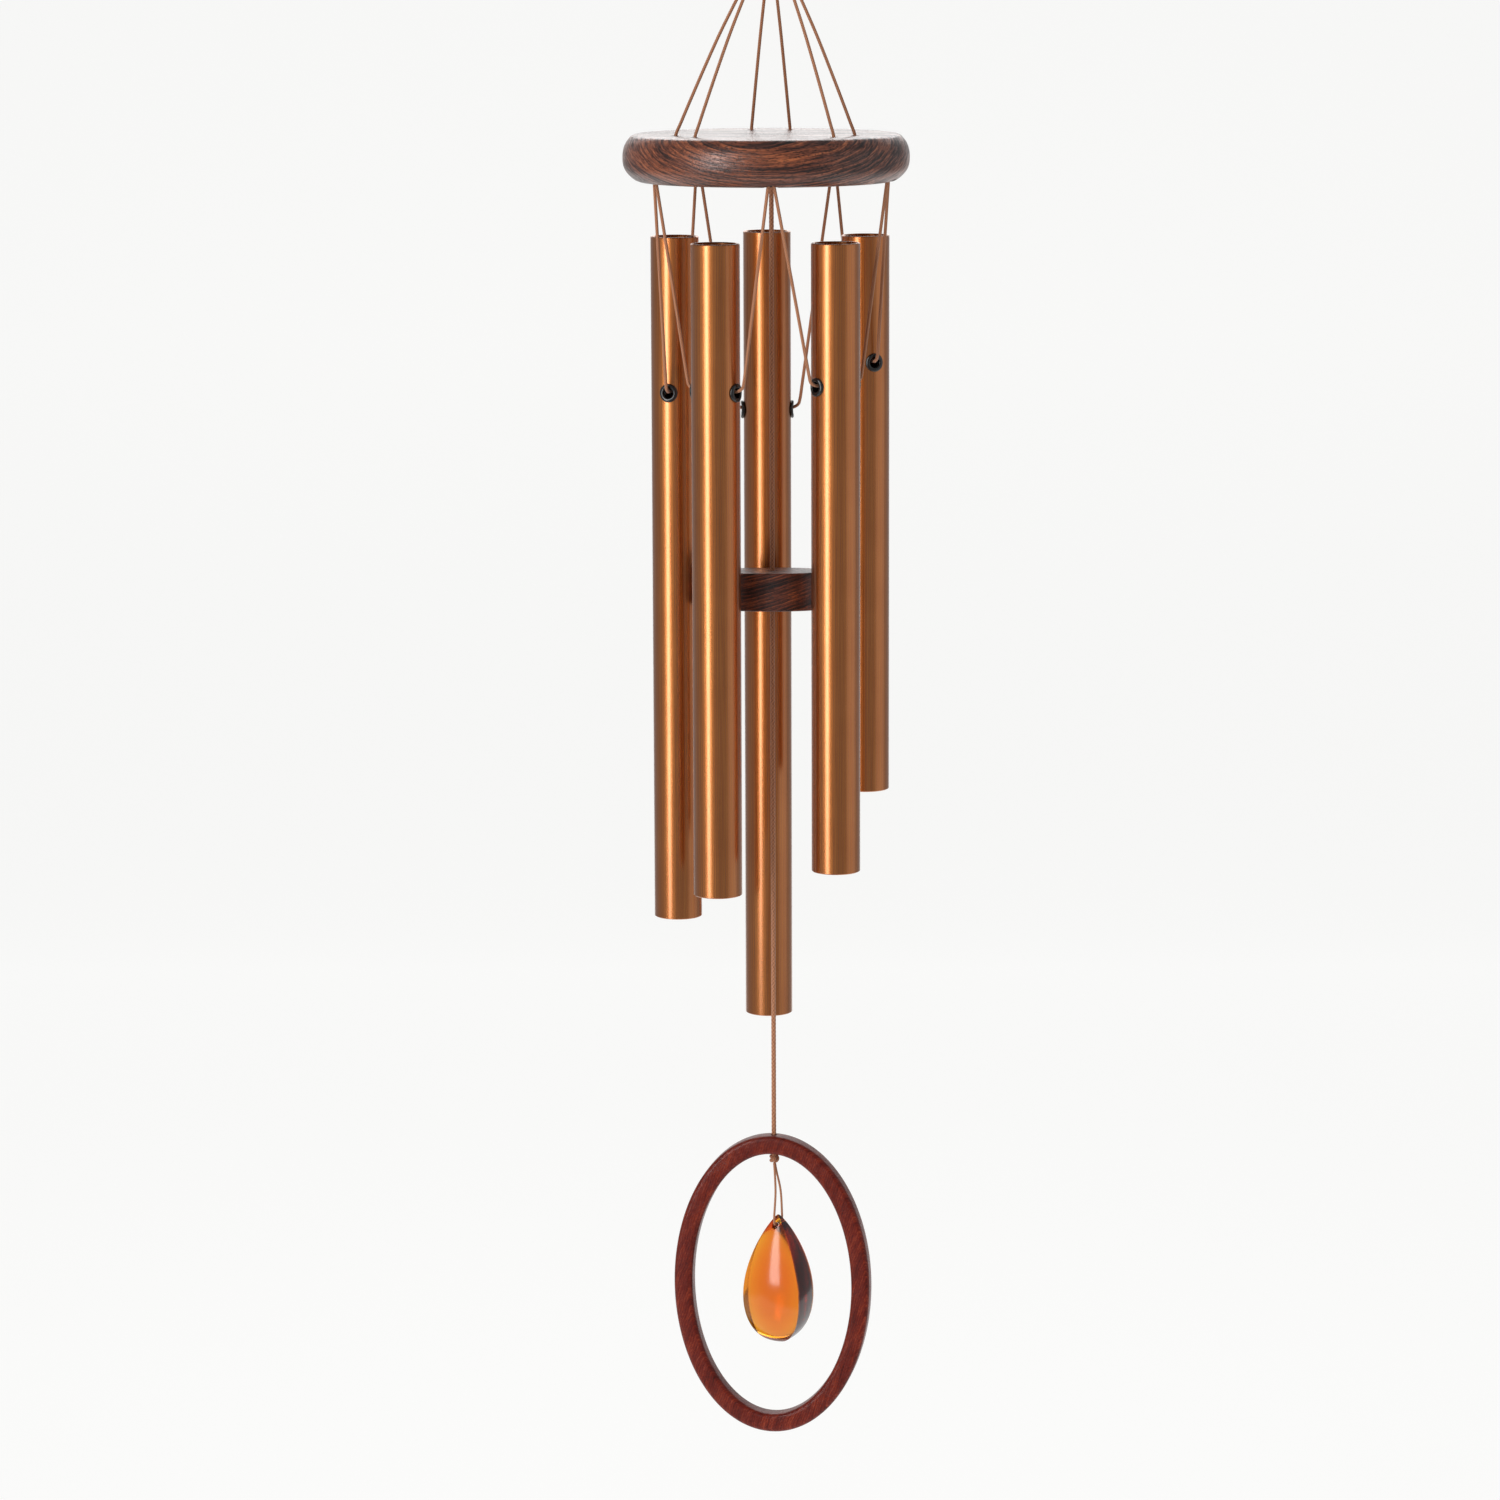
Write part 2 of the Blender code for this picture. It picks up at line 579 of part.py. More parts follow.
def build_chime():
    """All the pieces, each under the pivot that it moves about."""
    wood = material("stained wood", (0.13, 0.035, 0.015), 0.28)
    sail_wood = material("red stained wood", (0.17, 0.03, 0.016), 0.3)
    bronze = material("bronze anodised aluminium", (0.42, 0.18, 0.06), 0.3, 1.0)
    steel = material("steel wire", (0.6, 0.58, 0.55), 0.25, 1.0)
    black = material("black rubber", (0.012, 0.012, 0.012), 0.35)
    braid = material("copper brown cord", (0.42, 0.19, 0.11), 0.8)
    glass = material("amber glass", (0.8, 0.28, 0.02), 0.05)

    hanging_ring(steel)
    chime = pivot("pivot_chime", (0.0, 0.0, WIRE_Z))
    top_disc(wood, chime)
    for side, middle, shift in LOOPS:
        suspension_loop("suspension_cord_" + side, middle, shift, braid, chime)

    for number, angle, length in TUBES:
        turn = math.radians(angle + TUBE_TURN)
        lace_z = DISC_BOTTOM_Z + LACE_SEAT - WIRE_Z
        place = (TUBE_CIRCLE * math.cos(turn), TUBE_CIRCLE * math.sin(turn), lace_z)
        swing = pivot(f"pivot_cord_{number}", place, chime, angle + TUBE_TURN)
        lacing_cord(f"tube_{number}_cord", angle, length, braid, swing)
        node_z = TUBE_TOP_Z - NODE_SHARE * length - WIRE_Z - lace_z
        hang = pivot(f"pivot_tube_{number}", (0.0, 0.0, node_z), swing)
        chime_tube(f"tube_{number}", length, bronze, hang)
        for side, word in ((-1, "a"), (1, "b")):
            grommet(f"tube_{number}_grommet_{word}", side, black, hang)

    line = pivot("pivot_line", (0.0, 0.0, LINE_KNOT_Z - WIRE_Z), chime)
    ball_knot("line_knot", LINE_KNOT, braid, line)
    line_end = CLAPPER_KNOT_Z + LINE_KNOT / 2 + GAP - LINE_KNOT_Z
    upper = smooth_route([(0, 0, -LINE_KNOT / 2 - GAP), (0, 0, 0.5 * line_end), (0, 0, line_end)], 0.02)
    cord("clapper_line", upper, LINE, braid, line)
    clapper_disc(wood, line)

    below = pivot("pivot_sail_line", (0.0, 0.0, CLAPPER_KNOT_Z - LINE_KNOT_Z), line)
    ball_knot("clapper_knot", LINE_KNOT, braid, below)
    sail_end = SAIL_TOP_Z + GAP - CLAPPER_KNOT_Z
    lower = smooth_route([(0, 0, -LINE_KNOT / 2 - GAP), (0, 0, 0.5 * sail_end), (0, 0, sail_end)], 0.02)
    cord("sail_line", lower, LINE, braid, below)

    sail = pivot("pivot_sail", (0.0, 0.0, SAIL_TOP_Z - CLAPPER_KNOT_Z), below, SAIL_TURN)
    sail_ring(sail_wood, sail)
    knot = pivot("pivot_drop", (0.0, 0.0, SAIL_KNOT_Z - SAIL_TOP_Z), sail, DROP_TURN - SAIL_TURN)
    stem_top = SAIL_TOP_Z - GAP - SAIL_KNOT_Z
    stem = [(0, 0, h) for h in np.linspace(-0.0016, 0.0016, 9)] + [(0, 0, 0.004), (0, 0, stem_top)]
    cord("sail_knot", stem, LINE, braid, knot, [((0.0, 0.0, 0.0), SAIL_KNOT)])
    loop = smooth_route(drop_loop_route(), 0.004)
    cord("drop_loop", loop, LOOP_CORD, braid, knot)
    glass_drop(glass, knot)


for existing in list(bpy.data.objects):
    bpy.data.objects.remove(existing)
build_chime()
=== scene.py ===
"""The looks of a five-tube wind chime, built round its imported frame.

Metres, +Z up, the chime's front towards -Y. The sections follow the chime as it is put together, from
the hanging ring down to the glass drop.
"""

import json
import math

import bpy
import numpy as np
from mathutils import Matrix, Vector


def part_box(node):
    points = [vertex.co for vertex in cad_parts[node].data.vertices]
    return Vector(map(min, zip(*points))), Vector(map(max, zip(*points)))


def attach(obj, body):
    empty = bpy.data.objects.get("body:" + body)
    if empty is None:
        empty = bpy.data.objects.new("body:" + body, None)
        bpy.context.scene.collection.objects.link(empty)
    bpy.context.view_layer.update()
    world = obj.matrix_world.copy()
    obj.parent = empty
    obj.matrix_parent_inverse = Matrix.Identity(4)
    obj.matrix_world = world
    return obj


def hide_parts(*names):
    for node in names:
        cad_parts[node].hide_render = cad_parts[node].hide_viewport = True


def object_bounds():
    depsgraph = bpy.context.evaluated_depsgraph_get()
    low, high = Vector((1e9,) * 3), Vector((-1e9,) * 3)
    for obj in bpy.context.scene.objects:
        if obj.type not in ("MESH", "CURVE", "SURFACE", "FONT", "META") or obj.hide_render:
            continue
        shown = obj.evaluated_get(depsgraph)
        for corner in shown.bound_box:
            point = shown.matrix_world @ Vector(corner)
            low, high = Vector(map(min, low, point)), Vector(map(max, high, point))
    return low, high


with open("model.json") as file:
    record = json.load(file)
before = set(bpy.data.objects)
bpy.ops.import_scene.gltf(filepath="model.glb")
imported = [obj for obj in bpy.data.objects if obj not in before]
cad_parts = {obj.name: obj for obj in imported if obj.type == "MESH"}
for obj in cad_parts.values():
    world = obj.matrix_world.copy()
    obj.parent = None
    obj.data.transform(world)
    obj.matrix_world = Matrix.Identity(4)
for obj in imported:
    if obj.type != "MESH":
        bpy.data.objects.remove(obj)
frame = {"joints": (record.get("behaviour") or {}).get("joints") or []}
solid_size = [list(corner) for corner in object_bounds()]
joints = {joint["name"]: np.array(joint["pos_m"]) for joint in frame["joints"]}


# ---- The room: a pale floor that sweeps up into a pale wall, one tall soft light at the front left, a wide
# one behind and above, and a weak one at the right. The camera stands two metres off, a little above the
# disc, and looks slightly down.


def tone(code):
    """An sRGB hex colour as linear red, green and blue, with full cover."""
    parts = np.array([int(code[k : k + 2], 16) for k in (0, 2, 4)]) / 255.0
    linear = np.where(parts <= 0.04045, parts / 12.92, ((parts + 0.055) / 1.055) ** 2.4)
    return (*(float(part) for part in linear), 1.0)


def node(tree, kind, settings=(), links=()):
    """One shader node. A setting is one of its sockets or, where it has none of that name, a property. A
    ramp's stops are (place, hex colour) pairs. A link joins a socket here to another node's output."""
    made = tree.nodes.new("ShaderNode" + kind)
    for name, value in dict(settings).items():
        if name == "stops":
            ramp = made.color_ramp
            while len(ramp.elements) < len(value):
                ramp.elements.new(0.5)
            for stop, (place, code) in zip(ramp.elements, value):
                stop.position = place
                stop.color = tone(code)
        elif isinstance(name, int) or name in made.inputs:
            made.inputs[name].default_value = value
        else:
            setattr(made, name, value)
    for name, source in dict(links).items():
        tree.links.new(source, made.inputs[name])
    return made


def coated(name, **shader):
    """A material with one Principled shader, whose sockets are set here, and its tree."""
    made = bpy.data.materials.new(name)
    made.use_nodes = True
    principled = made.node_tree.nodes["Principled BSDF"]
    for socket, value in shader.items():
        principled.inputs[socket.replace("_", " ")].default_value = value
    return made, made.node_tree, principled


def skin(name, grid, paint, loop=False, capped=False, relief=None, sharp=40.0):
    """A surface through a grid of points. Row i holds the points round the piece at one place along it, and
    point (i, j) is joined to (i, j + 1), (i + 1, j + 1) and (i + 1, j), with every row closed on itself.
    With loop the last row joins the first, and with capped each end closes on its own middle point."""
    rows, across = grid.shape[:2]
    i = np.arange(rows if loop else rows - 1)[:, None]
    j = np.arange(across)[None, :]
    places = [(i, j), (i, j + 1), (i + 1, j + 1), (i + 1, j)]
    quads = np.stack([(a % rows) * across + b % across for a, b in places], axis=-1).reshape(-1, 4)
    points = grid.reshape(-1, 3)
    fans = np.zeros((0, 3), int)
    if capped:
        ends = np.stack([grid[0].mean(axis=0), grid[-1].mean(axis=0)])
        points = np.vstack([points, ends])
        first, last = np.arange(across), (rows - 1) * across + np.arange(across)
        start = np.stack([np.roll(first, -1), first, np.full(across, rows * across)], axis=-1)
        stop = np.stack([last, np.roll(last, -1), np.full(across, rows * across + 1)], axis=-1)
        fans = np.vstack([start, stop])
    corners = points[quads]
    across_quads = np.cross(corners[:, 2] - corners[:, 0], corners[:, 3] - corners[:, 1])
    if np.einsum("ij,ij->", corners.mean(axis=1) - points.mean(axis=0), across_quads) < 0:
        quads, fans = quads[:, ::-1], fans[:, ::-1]
    mesh = bpy.data.meshes.new(name)
    mesh.from_pydata(points.tolist(), [], quads.tolist() + fans.tolist())
    mesh.materials.append(paint)
    mesh.shade_smooth()
    mesh.set_sharp_from_angle(angle=math.radians(sharp))
    if relief is not None:
        values = np.zeros(len(points), np.float32)
        values[: relief.size] = relief.reshape(-1)
        mesh.attributes.new("relief", "FLOAT", "POINT").data.foreach_set("value", values)
    piece = bpy.data.objects.new(name, mesh)
    bpy.context.scene.collection.objects.link(piece)
    return piece


# Matt white paint, lit through from behind, so that it shows as an even pale ground.
room_paint, _, _ = coated(
    "matt white paint", Base_Color=tone("70706F"), Roughness=0.9, Emission_Color=tone("F6F6F5"),
    Emission_Strength=0.90,
)
FLOOR_GAP = 0.30
FLOOR_FRONT = -0.7
FLOOR_BACK = 2.3
FLOOR_BEND = 0.5
WALL_HEIGHT = 1.8
WALL_HALF_WIDTH = 1.15
floor_z = solid_size[0][2] - FLOOR_GAP
bend = np.linspace(0.0, math.pi / 2, 24)
sweep_y = np.concatenate([[FLOOR_FRONT], FLOOR_BACK + FLOOR_BEND * np.sin(bend), [FLOOR_BACK + FLOOR_BEND]])
sweep_z = np.concatenate([[0.0], FLOOR_BEND * (1.0 - np.cos(bend)), [WALL_HEIGHT]]) + floor_z
sweep_x = np.array([-WALL_HALF_WIDTH, WALL_HALF_WIDTH])
sweep = np.stack(np.broadcast_arrays(sweep_x[None, :], sweep_y[:, None], sweep_z[:, None]), axis=-1)
strips = np.arange(len(sweep_y) - 1)[:, None] * 2 + np.array([0, 1, 3, 2])
room_mesh = bpy.data.meshes.new("room")
room_mesh.from_pydata(sweep.reshape(-1, 3).tolist(), [], strips.tolist())
room_mesh.materials.append(room_paint)
room_mesh.shade_smooth()
room = bpy.data.objects.new("room", room_mesh)
bpy.context.scene.collection.objects.link(room)


CHIME_MIDDLE_Z = -0.30


def soft_light(name, azimuth, elevation, distance, size, power):
    """A flat soft light at a bearing from the chime's middle, turned to face it. Angles are in degrees,
    and azimuth runs from the front to the right."""
    lamp = bpy.data.lights.new(name, "AREA")
    lamp.shape = "RECTANGLE"
    lamp.size, lamp.size_y = size
    lamp.energy = power
    light = bpy.data.objects.new(name, lamp)
    a, e = math.radians(azimuth), math.radians(elevation)
    light.location = (
        distance * math.sin(a) * math.cos(e),
        -distance * math.cos(a) * math.cos(e),
        CHIME_MIDDLE_Z + distance * math.sin(e),
    )
    light.rotation_euler = (math.pi / 2 - e, 0.0, a)
    bpy.context.scene.collection.objects.link(light)


soft_light("front_left_light", -41.0, 12.0, 1.7, (0.46, 1.7), 18.0)
soft_light("back_light", 180.0, 34.0, 1.5, (1.2, 0.6), 7.5)
soft_light("right_light", 76.0, 8.0, 1.6, (1.5, 1.6), 2.8)

# The room beyond the wall is pale where it is looked at, and lights the chime only dimly.
world = bpy.data.worlds.new("pale room")
world.use_nodes = True
tree = world.node_tree
dim = tree.nodes["Background"]
dim.inputs["Color"].default_value = tone("EDEEF0")
dim.inputs["Strength"].default_value = 0.38
pale = node(tree, "Background", {"Color": tone("F2F2F1"), "Strength": 0.9})
looked_at = node(tree, "LightPath")
beyond = node(
    tree, "MixShader", (), {0: looked_at.outputs["Is Camera Ray"], 1: dim.outputs[0], 2: pale.outputs[0]}
)
tree.links.new(beyond.outputs["Shader"], tree.nodes["World Output"].inputs["Surface"])
bpy.context.scene.world = world
bpy.context.scene.view_settings.view_transform = "Standard"

LENS = 122.5
EYE = np.array([-0.0021, -2.0, -0.0031])
PITCH, YAW, ROLL = math.radians(9.60), math.radians(-0.200), math.radians(-0.20)
ahead = np.array([math.sin(YAW) * math.cos(PITCH), math.cos(YAW) * math.cos(PITCH), -math.sin(PITCH)])
level = np.array([math.cos(YAW), -math.sin(YAW), 0.0])
above = np.cross(level, ahead)
right = level * math.cos(ROLL) + above * math.sin(ROLL)
above = above * math.cos(ROLL) - level * math.sin(ROLL)
lens = bpy.data.cameras.new("camera")
lens.lens = LENS
lens.sensor_width = 36.0
lens.clip_end = 20.0
camera = bpy.data.objects.new("camera", lens)
bpy.context.scene.collection.objects.link(camera)
camera.matrix_world = Matrix([*zip(right, above, -ahead, EYE), (0.0, 0.0, 0.0, 1.0)])
bpy.context.scene.camera = camera


# ---- Hanging ring: steel wire bent to a ring and butt-welded, then tumbled bright. It goes on the hook,
# and the three cord loops hang over its lower wire.

RING_WIRE = 0.0026
RING_SWEEP = 0.0097
RING_MIDDLE = joints["chime_sway"] + [0.0, 0.0, RING_SWEEP]
WELD_PLACE = 0.35
WELD_SWELL = 0.08
WELD_REACH = 0.0009

# Tumbled steel: a bright grey metal, slightly hazed and faintly dented, in patches about a millimetre wide.
steel, tree, shader = coated("tumbled steel wire", Metallic=1.0, Roughness=0.24)
place = node(tree, "TexCoord")
haze = node(tree, "TexNoise", {"Scale": 900.0, "Detail": 4.0}, {"Vector": place.outputs["Object"]})
grey = node(tree, "ValToRGB", {"stops": [(0.3, "A9A6A2"), (0.7, "C9C6C2")]}, {"Fac": haze.outputs["Fac"]})
tree.links.new(grey.outputs["Color"], shader.inputs["Base Color"])
dents = node(tree, "Bump", {"Strength": 0.25, "Distance": 0.00003}, {"Height": haze.outputs["Fac"]})
tree.links.new(dents.outputs["Normal"], shader.inputs["Normal"])

# A circle carried round a larger circle. It swells at the weld by a bell curve, exp(-(distance / reach)^2).
round_ring = np.linspace(0.0, 2 * math.pi, 144, endpoint=False)[:, None]
round_wire = np.linspace(0.0, 2 * math.pi, 28, endpoint=False)[None, :]
from_weld = (round_ring - WELD_PLACE + math.pi) % (2 * math.pi) - math.pi
swell = 1.0 + WELD_SWELL * np.exp(-((from_weld * RING_SWEEP / WELD_REACH) ** 2))
reach = RING_SWEEP + RING_WIRE / 2 * swell * np.cos(round_wire)
rise = RING_WIRE / 2 * swell * np.sin(round_wire)
ring_grid = np.stack([reach * np.cos(round_ring), rise, reach * np.sin(round_ring)], axis=-1) + RING_MIDDLE
ring = skin("steel_ring", ring_grid, steel, loop=True)
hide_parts("hanging_ring")
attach(ring, "hanging_ring")


# ---- Suspension cords: three loops of fine polyester braid over the ring's lower wire. Each one's ends go
# down through two holes in the disc and are knotted in recesses under it.

CORD = 0.0013
CORD_GAP = 0.0003
DISC_X = -0.002
DISC_THICKNESS = 0.018
DISC_DROP = 0.080
LOOP_CIRCLE = 0.037
LOOP_SPREAD = 12.0
LOOPS = {"back": (87.0, 0), "left": (210.0, -1), "right": (327.0, 1)}  # angle, and place along the wire
STOPPER = 0.0040
STOPPER_CORD = 0.0012

# Polyester braid: copper-brown with a soft sheen, with painted shade in the gaps between the strands and
# painted lighter crowns. The threads in a strand are drawn about twice as coarse as real ones, 0.2 mm, so
# that they show.
braid, tree, shader = coated("copper brown braid", Roughness=0.62, Sheen_Weight=0.35, Sheen_Roughness=0.5)
crown = node(tree, "Attribute", {"attribute_name": "relief"})
place = node(tree, "TexCoord")
threads = node(tree, "TexNoise", {"Scale": 5200.0, "Detail": 3.0}, {"Vector": place.outputs["Object"]})
# Painted shade: the strands' crown height, kept as relief, darkens the gaps between them and lightens the
# crowns.
painted_gap_shade = node(
    tree, "Math", {"operation": "MULTIPLY_ADD", 1: 0.5}, {0: threads.outputs["Fac"], 2: crown.outputs["Fac"]}
)
BRAID_BROWNS_AND_GAP_SHADE = [(0.25, "5A2E1C"), (0.7, "A0613F"), (1.0, "C4875F")]
brown = node(tree, "ValToRGB", {"stops": BRAID_BROWNS_AND_GAP_SHADE}, {"Fac": painted_gap_shade.outputs["Value"]})
tree.links.new(brown.outputs["Color"], shader.inputs["Base Color"])
fuzz = node(tree, "Bump", {"Strength": 0.4, "Distance": 0.00005}, {"Height": threads.outputs["Fac"]})
tree.links.new(fuzz.outputs["Normal"], shader.inputs["Normal"])


def smooth_route(points, step):
    """A smooth line through the given points, then read at even steps. Each span is a cubic whose end
    slopes follow its neighbours, weighted by the square roots of the spans' lengths."""
    points = np.array(points, float)
    held = np.vstack([2 * points[0] - points[1], points, 2 * points[-1] - points[-2]])
    knots = np.concatenate([[0.0], np.cumsum(np.sqrt(np.linalg.norm(np.diff(held, axis=0), axis=1)))])
    parts = []
    for k in range(1, len(held) - 2):
        t0, t1, t2, t3 = knots[k - 1 : k + 3]
        t = np.linspace(t1, t2, 40)[:-1, None]
        a1 = ((t1 - t) * held[k - 1] + (t - t0) * held[k]) / (t1 - t0)
        a2 = ((t2 - t) * held[k] + (t - t1) * held[k + 1]) / (t2 - t1)
        a3 = ((t3 - t) * held[k + 1] + (t - t2) * held[k + 2]) / (t3 - t2)
        b1 = ((t2 - t) * a1 + (t - t0) * a2) / (t2 - t0)
        b2 = ((t3 - t) * a2 + (t - t1) * a3) / (t3 - t1)
        parts.append(((t2 - t) * b1 + (t - t1) * b2) / (t2 - t1))
    line = np.vstack([*parts, held[-2:-1]])
    far = np.concatenate([[0.0], np.cumsum(np.linalg.norm(np.diff(line, axis=0), axis=1))])
    even = np.linspace(0.0, far[-1], max(4, math.ceil(far[-1] / step)))
    return np.stack([np.interp(even, far, line[:, k]) for k in range(3)], axis=-1), float(far[-1])


def unit(rows):
    """Each row at length one."""
    return rows / np.linalg.norm(rows, axis=1)[:, None]


def tubular(line, side, other, turn, radius):
    """A circle round each point of a line: side * cos(turn) + other * sin(turn), times the radius there."""
    ring = np.cos(turn)[..., None] * side[:, None] + np.sin(turn)[..., None] * other[:, None]
    return line[:, None] + radius[..., None] * ring


def braided(name, route, diameter, across, strands=4, steps=20, fine=0.00022):
    """A braided cord along a route, the points it follows, and its length. The line is read at even steps
    and a circle carried along it, kept level by the direction across. Two families of strands wind round
    it in opposite ways and pass over each other by turns. Each strand's crown is half a sine high."""
    line, length = smooth_route(route, fine)
    ahead = unit(np.gradient(line, axis=0))
    across = np.array(across, float)
    side = unit(across - (ahead @ across)[:, None] * ahead)
    turn = np.linspace(0.0, 2 * math.pi, steps, endpoint=False)[None, :]
    far = np.linspace(0.0, length, len(line))[:, None]
    lay = far / (0.85 * diameter)
    one, two = strands * turn / (2 * math.pi) + lay, strands * turn / (2 * math.pi) - lay
    over = (np.floor(one) + np.floor(two)) % 2 < 1
    crown = np.where(over, np.sin(math.pi * (one % 1)), np.sin(math.pi * (two % 1)))
    radius = diameter / 2 * (0.90 + 0.10 * crown)
    drawn_in = np.clip(np.minimum(far, length - far) / (0.3 * diameter) + 0.55, 0, 1)
    grid = tubular(line, side, np.cross(ahead, side), turn, radius * drawn_in)
    path = line[::4].tolist() + [line[-1].tolist()]
    # The crown is kept as relief, and the braid's colour paints shade into the gaps from it.
    return skin(name, grid, braid, capped=True, relief=crown, sharp=180.0), path, length


def rotation(axis, angle):
    """The matrix of a turn, in radians, about X (axis 0) or Z (axis 2). It mixes the two other axes by the
    angle's cosine and sine."""
    a, b = [k for k in range(3) if k != axis]
    matrix = np.eye(3)
    matrix[a, a] = matrix[b, b] = math.cos(angle)
    matrix[a, b], matrix[b, a] = -math.sin(angle), math.sin(angle)
    return matrix


def tight_knot(name, middle, size, cord, tilt=0.0):
    """A tight round knot: a cord carried along a three-lobed knotted line, which runs twice round the
    middle while it rises and falls three times."""
    t = np.linspace(0.0, 2 * math.pi, 160, endpoint=False)
    thick = cord / 2
    deep = (size / 2 - thick) * 0.42
    wide = size / 2 - thick - deep
    lobe = wide + deep * np.cos(3 * t)
    line = np.stack([lobe * np.cos(2 * t), lobe * np.sin(2 * t), 1.25 * deep * np.sin(3 * t)], axis=-1)
    line = line @ rotation(0, tilt).T
    ahead = unit(np.roll(line, -1, axis=0) - np.roll(line, 1, axis=0))
    side = unit(np.cross(ahead, line))
    turn = np.linspace(0.0, 2 * math.pi, 16, endpoint=False)[None, :]
    crown = 0.5 + 0.5 * np.sin(4 * turn + 36 * t[:, None])
    grid = tubular(line, side, np.cross(ahead, side), turn, thick * (0.93 + 0.07 * crown))
    # The crown is kept as relief, and the braid's colour paints shade into the gaps from it.
    return skin(name, grid + np.array(middle), braid, loop=True, relief=crown, sharp=180.0)


def loop_holes(angle):
    """Where the two holes of the cord loop at this angle are, as x and y."""
    turns = np.radians([angle - LOOP_SPREAD, angle + LOOP_SPREAD])
    return np.stack([DISC_X + LOOP_CIRCLE * np.cos(turns), LOOP_CIRCLE * np.sin(turns)], axis=-1)


def suspension_route(holes, across):
    """From one stopper knot up through the disc, over the wire, and down to the other knot."""
    rise = RING_SWEEP - math.sqrt(RING_SWEEP**2 - across**2)
    radius = RING_WIRE / 2 + CORD_GAP + CORD / 2
    below = np.array([0.0, 0.0, -1.0])
    legs = []
    for hole, y in zip(holes, (-radius, radius)):
        start = np.array([across, y, rise])
        lean = (start - hole) / np.linalg.norm(start - hole)
        legs.append([
            hole + below * (DISC_THICKNESS - 0.0012),
            hole + below * (DISC_THICKNESS - 0.0032),
            hole + below * (DISC_THICKNESS - 0.0052),
            hole + below * 0.0050,
            hole + below * 0.0005 + lean * 0.0004,
            hole + lean * 0.0060,
            hole + lean * 0.0400,
            start + below * 0.0060 - (lean - below * -lean[2]) * 0.0026,
            start,
        ])
    turns = np.radians([45.0, 90.0, 135.0])
    over = [np.array([across, -radius * math.cos(a), rise + radius * math.sin(a)]) for a in turns]
    return np.array(legs[0] + over + legs[1][::-1]) + joints["chime_sway"]


for side, (angle, place) in LOOPS.items():
    holes = [np.array([x, y, -DISC_DROP]) for x, y in loop_holes(angle)]
    holes = sorted(holes, key=lambda hole: (round(hole[1], 6), -hole[0]))
    route = suspension_route(holes, place * (CORD + CORD_GAP))
    cord, path, length = braided("braid_loop_" + side, route, CORD, (1.0, 0.0, 0.0))
    ends = enumerate((route[1], route[-2]))
    knots = [tight_knot(f"stopper_{side}_{k}", end, STOPPER, STOPPER_CORD) for k, end in ends]
    for knot in knots:
        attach(knot, "platform")
    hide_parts("suspension_cord_" + side)
    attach(cord, "platform")


# ---- Top disc: a hardwood blank turned to a barrelled disc, drilled, stained and lacquered to a gloss. The
# grain's layers lie at a slant, so they run level across the front and climb at both ends.

DISC_RADIUS = 0.056
RIM_DRAW_TOP = 0.004
RIM_DRAW_BOTTOM = 0.0056
RIM_EDGE = 0.0005
LOOP_HOLE = 0.0015
KNOT_RECESS = 0.0032
KNOT_RECESS_DEPTH = 0.0065
LACE_HOLE = 0.0027
LACE_HOLE_DEPTH = 0.0060
disc_top = joints["chime_sway"][2] - DISC_DROP
disc_bottom = disc_top - DISC_THICKNESS
TUBE_CIRCLE = 0.0395
HALF_STEP = 36.0  # degrees from a tube to the lacing hole on each side of it
LACE_CIRCLE = TUBE_CIRCLE / math.cos(math.radians(HALF_STEP))
TUBE_ANGLES = {1: 164.6, 2: 236.6, 3: 92.6, 4: 308.6, 5: 20.6}
LACE_DRIFT = {200.6: 0.0, 272.6: -0.0024, 128.6: 0.0010, 344.6: -0.0012, 56.6: -0.0016}


